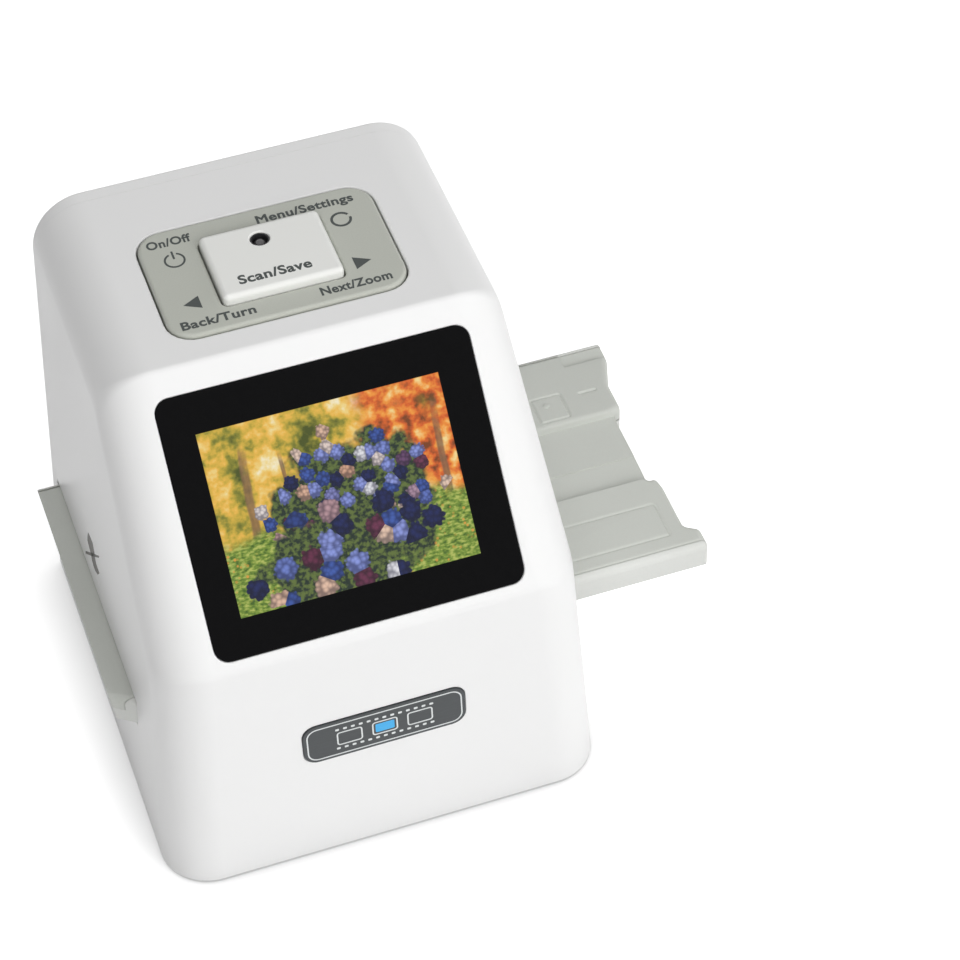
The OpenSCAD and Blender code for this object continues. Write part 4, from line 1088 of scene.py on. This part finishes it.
class SCANNER_OT_keypad(bpy.types.Operator):
    """Builds the rocking pad, the centre key, its lamp and their marks"""

    bl_idname = "scanner.keypad"
    bl_label = "Keypad"

    def execute(self, context):
        front = in_mm(settings().front)
        y, top, key_top = front.pad_y, front.pad_top, front.key_top
        rounded = soft_plate(PAD_UNDERSIDE, top, 0, 0.8)
        base = slab(front.pad_width, front.pad_depth, front.pad_radius, rounded, 10)
        flange = slab(
            front.pad_width + 2.4,
            front.pad_depth + 2.4,
            front.pad_radius + 1.2,
            [(PAD_UNDERSIDE, 0), (PAD_UNDERSIDE + 1, 0)],
        )
        key_hole = slab(
            front.key_width + MOVING_GAP, front.key_depth + MOVING_GAP, 1.55, soft_opening(100, top, 0.5)
        )
        pad = new_piece("keypad_rocker_pad", moved(base, 0, y))
        carve(pad, moved(flange, 0, y), operation="UNION")
        carve(pad, moved(key_hole, 0, y))
        finish(pad, "keypad", material("grey_pad"), ["keypad_pad"])

        lamp_x, lamp_y = KEY_LAMP[0], y + KEY_LAMP[1]
        body = slab(front.key_width, front.key_depth, 1.2, soft_plate(KEY_UNDERSIDE, key_top, 0, 1.1, 6))
        lamp_hole = disc(4.0, soft_opening(KEY_UNDERSIDE - 2, key_top, 0.35))
        key = new_piece("centre_key_cap", moved(body, 0, y))
        carve(key, moved(lamp_hole, lamp_x, lamp_y))
        finish(key, "centre_key", material("white_key"), ["ok_key"])
        sleeve = band(3.96, 3.96, 1.98, 0.3, key_top - 3, key_top - 0.4, 10)
        liner = new_piece("centre_key_lamp_liner", moved(sleeve, lamp_x, lamp_y))
        finish(liner, "centre_key", material("black_plastic"))

        low, high = top - 0.03, top + 0.03
        symbols = [
            moved(arc_band(1.95, 0.42, 112, 428, low, high), -17.9, 21.35),
            moved(slab(0.42, 2.3, 0.05, [(low, 0), (high, 0)], 2), -17.9, 22.9),
            moved(arc_band(1.9, 0.55, 32, 366, low, high), 16.4, 21.4),
            prism([(-19.8, 8.15), (-16.4, 6.35), (-16.4, 9.95)], 2, low, high),
            prism([(18.4, 8.15), (14.95, 9.95), (14.95, 6.35)], 2, low, high),
        ]
        words = [
            legend("On/Off", -22.2, 25.85, 9.0, 2.3, top),
            legend("Menu/Settings", 0.4, 26.0, 20.1, 2.3, top),
            legend("Back/Turn", -21.8, 1.45, 14.9, 2.3, top),
            legend("Next/Zoom", 6.3, 1.55, 14.5, 2.3, top),
        ]
        marks = new_piece("keypad_marks", *symbols, *words)
        finish(marks, "keypad", material("print"))
        label = new_piece("centre_key_mark", legend("Scan/Save", -8.2, 8.3, 14.8, 2.5, key_top))
        finish(label, "centre_key", material("print"))
        return {"FINISHED"}


class SCANNER_OT_adapter(bpy.types.Operator):
    """Builds both halves of the sliding film adapter"""

    bl_idname = "scanner.adapter"
    bl_label = "Film adapter"

    def execute(self, context):
        a = in_mm(settings().adapter)
        before, beyond, over = a.left - 4, a.right + 5, a.top + 2
        gate = moved(slab(*FILM_GATE, 1, [(a.low - 2, 0), (over, 0)]), 0, a.middle)
        lean = [(a.left, a.top), (a.left, over), (before, over), (before, a.low - 1)]
        left_end = prism([*lean, (a.left + 0.95, a.low - 1)], 1, a.front - 9, a.rear + 9)
        dip, rim = (37.9, a.top - 1.3), (a.rear + 1, a.top - 0.1)
        scoop = prism([dip, rim, (rim[0], over), (dip[0], over)], 0, 69.8, beyond)

        section = self.section(a, 0, a.low, (0.5, 0.5, 2.2, 1.7))
        tray = new_piece("adapter_tray", prism(section, 0, before, beyond))
        carve(tray, self.plan(a, a.low - 2, 0), operation="INTERSECT")
        inner = (a.front + a.tray_wall, a.rear - a.tray_wall)
        track = (a.middle - FILM_TRACK / 2, a.middle + FILM_TRACK / 2)
        detent_y, detent_depth = (-16.0, -13.2), 1.1
        carve(
            tray,
            block((before, beyond), inner, (a.low + TRAY_FLOOR, over)),
            block((before, beyond), track, (a.low + TRACK_FLOOR, over)),
            block((before, beyond), detent_y, (a.low - 1, a.low + detent_depth)),
            gate,
            scoop,
            left_end,
        )
        stop_rib = block((46.1, 48.1), (0.6, 20.6), (a.low - 1.6, a.low + 0.2))
        carve(tray, stop_rib, operation="UNION")
        # The tray's paler finish is partly painted light on its front walls.
        finish(tray, "film_adapter", material("adapter_tray"), ["adapter_base"], soften=0.25)

        lid = new_piece("adapter_lid", self.plan(a, a.low + TRAY_FLOOR + 0.05, 5))
        section = self.section(a, a.tray_wall + 0.2, a.low + 3, (0.05, 0.05, 0.7, 0.7))
        carve(lid, prism(section, 0, before, beyond), operation="INTERSECT")
        floor = a.top - a.channel_depth
        lip = [(21.6, -0.6), (21.8, -0.3), (22.1, -0.1), (22.6, 0.01), (22.6, 2), (-0.2, 2), (-0.2, 0)]
        channel = [(0.0, floor), (21.2, floor), *[(y, a.top + z) for y, z in lip]]
        sink = [(0.05, -0.75), (1.5, -0.55), (4.0, -0.3), (8.3, -0.15), (8.3, 0.5), (0.05, 0.5)]
        tick = slab(4.6, 0.9, 0.4, [(a.top - 0.3, -0.35), (a.top + 0.02, 0.1), (over, 0.1)], 3)
        carve(
            lid,
            gate,
            prism(channel, 0, 24, beyond),
            prism([(y, floor + z) for y, z in sink], 0, 24.5, beyond),
            moved(groove(43.3, 9.6, 0.5, a.top), 51.7, -12.4),
            moved(groove(6.9, 7.4, 0.5, a.top, 0.45, 0.3), 62.5, 26.9),
            moved(tick, 72.0, 29.1),
            scoop,
            left_end,
        )
        dot = disc(1.5, soft_plate(a.top - 0.3, a.top + 0.25, 0, 0.25), 5)
        carve(lid, moved(dot, 61.9, 27.9), operation="UNION")
        # The cover's darker finish is painted shade on its top face.
        finish(lid, "film_adapter", material("adapter_grey"), ["adapter_cover"], soften=0.12)
        return {"FINISHED"}

    def section(self, a, inside, low, radii):
        """A cross-section, as (y, z), inside the front and rear edges by the given distance."""
        front, rear = a.front + inside, a.rear - inside
        return rounded_outline([(front, low), (rear, low), (rear, a.top), (front, a.top)], radii)

    def plan(self, a, low, past, steps=5):
        """The adapter's plan, carried up from a height to a quarter round at the top face, where
        the outline moves in by r (1 - cos t) as the height reaches top - r (1 - sin t). At the
        left end the front corner is cut off. At the right end the edge steps in ahead of the
        channel and again across it, then out over the shoulder behind it. The outline goes past
        the front and rear edges by the given distance."""
        end = [(-2.95, -26.0), (-2.85, -13.8), (-3.35, -10.9), (-5.1, -10.9), (-4.9, 10.8), (-2.8, 10.8)]
        end = np.array([(0, -27.9), *end, (-2.7, 19.4), (-0.2, 27.0)]) + (a.right, a.middle)
        cut = a.left + 4.9 + 1.44 * past  # the cut corner's line goes on at its own slope
        points = [(cut, a.front - past), (a.right, a.front - past), *end]
        points += [(a.right, a.rear + past), (a.left - 2, a.rear + past), (a.left - 2, a.front + 4.8)]
        radii = (0.6, a.corner, 1.6, 1.6, 2.4, 1.2, 0.3, 0.1, 1.75, 2.5, 2.5, a.corner, 0.3, 0.6)
        turn = np.linspace(0, np.pi / 2, steps + 1)
        inset = np.concatenate([[0], a.round * (1 - np.cos(turn))])
        height = np.concatenate([[low], a.top + 0.01 - a.round * (1 - np.sin(turn))])
        loops = [rounded_outline(points, radii, 5, d) for d in inset]
        return loft(np.stack([np.insert(loop, 2, z, axis=1) for loop, z in zip(loops, height)]))


class SCANNER_OT_workings(bpy.types.Operator):
    """Gives every solid that stays its finish"""

    bl_idname = "scanner.workings"
    bl_label = "Inner parts and fittings"

    def execute(self, context):
        slots = {part["node"]: part["material_slot"] for part in frame["record"]["subparts"]}
        for name, node in frame["nodes"].items():
            node.data.materials.clear()
            node.data.materials.append(material(slots[name]))
        return {"FINISHED"}


class SCANNER_OT_studio(bpy.types.Operator):
    """Sets the floor, the lights and the camera"""

    bl_idname = "scanner.studio"
    bl_label = "Studio"

    def execute(self, context):
        scene = context.scene
        scene.view_settings.view_transform = "Standard"
        self.floor()
        self.sky(scene)
        for name, (place, power) in LAMPS.items():
            self.lamp(name, place, power)
        camera = bpy.data.objects.new("camera", bpy.data.cameras.new("camera"))
        camera.data.sensor_width = SENSOR_WIDTH
        camera.data.lens = FOCAL_PIXELS / FRAME_PIXELS * SENSOR_WIDTH
        camera.data.clip_start, camera.data.clip_end = 0.01, 20
        right, down = Vector(CAMERA_RIGHT), Vector(CAMERA_DOWN)
        ahead = right.cross(down).normalized()
        down = ahead.cross(right).normalized()
        turn = Matrix((right.normalized(), -down, -ahead)).transposed()
        camera.matrix_world = Matrix.Translation(CAMERA_PLACE) @ turn.to_4x4()
        scene.collection.objects.link(camera)
        scene.camera = camera
        return {"FINISHED"}

    def seen(self, tree):
        """1 for the rays that show the background: camera, glossy and transmission rays."""
        path = tree.nodes.new("ShaderNodeLightPath")
        total = path.outputs["Is Camera Ray"]
        for name in ("Is Glossy Ray", "Is Transmission Ray"):
            add = tree.nodes.new("ShaderNodeMath")
            add.operation, add.use_clamp = "ADD", True
            tree.links.new(total, add.inputs[0])
            tree.links.new(path.outputs[name], add.inputs[1])
            total = add.outputs[0]
        return total

    def floor(self):
        """A pale diffuse floor, lifted to white where the camera sees it lit, and less so where the case's
        lower edge closes it in. There ambient occlusion darkens its colour and its lift: a painted contact
        shadow."""
        half_span = 3000.0
        corners = np.array([(-1, -1, 0), (1, -1, 0), (1, 1, 0), (-1, 1, 0)]) * half_span
        plane = new_piece("floor", (corners, [[0, 1, 2, 3]]))
        paper = Finish("Pale floor")
        # Painted contact shadow: ambient occlusion darkens the floor's colour and its white lift next to
        # the case.
        openness_for_painted_shadow = paper.node("ShaderNodeAmbientOcclusion", {"samples": 12}, {"Distance": 0.016}, "AO")
        pale = paper.mix(paper.noise(40, 2), (0.8, 0.8, 0.8), (0.82, 0.82, 0.82))
        paper.set(
            Base_Color=paper.mix(openness_for_painted_shadow, (0.2, 0.2, 0.2), pale),
            Roughness=1.0,
            Specular_IOR_Level=0.0,
        )
        tree = paper.tree
        glow, dark = tree.nodes.new("ShaderNodeEmission"), tree.nodes.new("ShaderNodeEmission")
        lift, both = tree.nodes.new("ShaderNodeMixShader"), tree.nodes.new("ShaderNodeAddShader")
        glow.inputs["Strength"].default_value = 0.77
        dark.inputs["Strength"].default_value = 0.0
        seen = Wire(paper, self.seen(tree)) * openness_for_painted_shadow.power(0.7)
        for output, socket in (
            (seen.socket, lift.inputs[0]),
            (dark.outputs[0], lift.inputs[1]),
            (glow.outputs[0], lift.inputs[2]),
            (paper.shader.outputs[0], both.inputs[0]),
            (lift.outputs[0], both.inputs[1]),
            (both.outputs[0], paper.out.inputs["Surface"]),
        ):
            tree.links.new(output, socket)
        plane.data.materials.append(paper.material)

    def sky(self, scene):
        """White for what the camera sees, and an even grey for the light it gives."""
        world = bpy.data.worlds.new("Studio")
        scene.world = world
        world.use_nodes = True
        tree = world.node_tree
        light, white = tree.nodes["Background"], tree.nodes.new("ShaderNodeBackground")
        for background, strength in ((light, SKY_LIGHT), (white, 1.0)):
            background.inputs["Color"].default_value = (1, 1, 1, 1)
            background.inputs["Strength"].default_value = strength
        mix = tree.nodes.new("ShaderNodeMixShader")
        tree.links.new(self.seen(tree), mix.inputs[0])
        tree.links.new(light.outputs[0], mix.inputs[1])
        tree.links.new(white.outputs[0], mix.inputs[2])
        tree.links.new(mix.outputs[0], tree.nodes["World Output"].inputs["Surface"])

    def lamp(self, name, place, power):
        """A soft square lamp that looks at the scanner, kept out of its reflections."""
        data = bpy.data.lights.new(name, "AREA")
        data.size, data.energy = LAMP_SIZE, power
        lamp = bpy.data.objects.new(name, data)
        lamp.location = place
        lamp.rotation_mode = "QUATERNION"
        lamp.rotation_quaternion = (Vector((0, 0, 0.05)) - Vector(place)).to_track_quat("-Z", "Y")
        lamp.visible_glossy = False
        bpy.context.scene.collection.objects.link(lamp)


# ---------- add-on ----------


def pointer(kind, name, description):
    return bpy.props.PointerProperty(type=kind, name=name, description=description)


class ScannerSettings(bpy.types.PropertyGroup):
    """All sizes and colours of the scanner"""

    case: pointer(ScannerCaseSizes, "Case", "Sizes of the case")
    front: pointer(ScannerFrontSizes, "Front", "Sizes of the front")
    adapter: pointer(ScannerAdapterSizes, "Adapter", "Sizes of the adapter")
    colours: pointer(ScannerColours, "Colours", "Colours of the pieces")


OPERATORS = (
    SCANNER_OT_housing,
    SCANNER_OT_rear,
    SCANNER_OT_screen,
    SCANNER_OT_nameplate,
    SCANNER_OT_keypad,
    SCANNER_OT_adapter,
    SCANNER_OT_workings,
    SCANNER_OT_studio,
)


class SCANNER_PT_panel(bpy.types.Panel):
    """The scanner's pieces and sizes"""

    bl_idname = "SCANNER_PT_panel"
    bl_label = "Film negative scanner"
    bl_space_type = "VIEW_3D"
    bl_region_type = "UI"
    bl_category = "Scanner"

    def draw(self, context):
        for operator in OPERATORS:
            self.layout.operator(operator.bl_idname)
        for part in ("case", "front", "adapter", "colours"):
            box = self.layout.box()
            box.label(text=part.capitalize())
            values = getattr(context.scene.film_scanner, part)
            for name in values.__annotations__:
                box.prop(values, name)


CLASSES = (
    ScannerCaseSizes,
    ScannerFrontSizes,
    ScannerAdapterSizes,
    ScannerColours,
    ScannerSettings,
    *OPERATORS,
    SCANNER_PT_panel,
)


def register():
    for item in CLASSES:
        bpy.utils.register_class(item)
    bpy.types.Scene.film_scanner = bpy.props.PointerProperty(type=ScannerSettings)


def unregister():
    del bpy.types.Scene.film_scanner
    for item in reversed(CLASSES):
        bpy.utils.unregister_class(item)


def main():
    register()
    bpy.ops.scanner.studio()
    bpy.ops.scanner.workings()
    bpy.ops.scanner.housing()
    bpy.ops.scanner.rear()
    bpy.ops.scanner.screen()
    bpy.ops.scanner.nameplate()
    bpy.ops.scanner.keypad()
    bpy.ops.scanner.adapter()


if __name__ == "__main__":
    main()
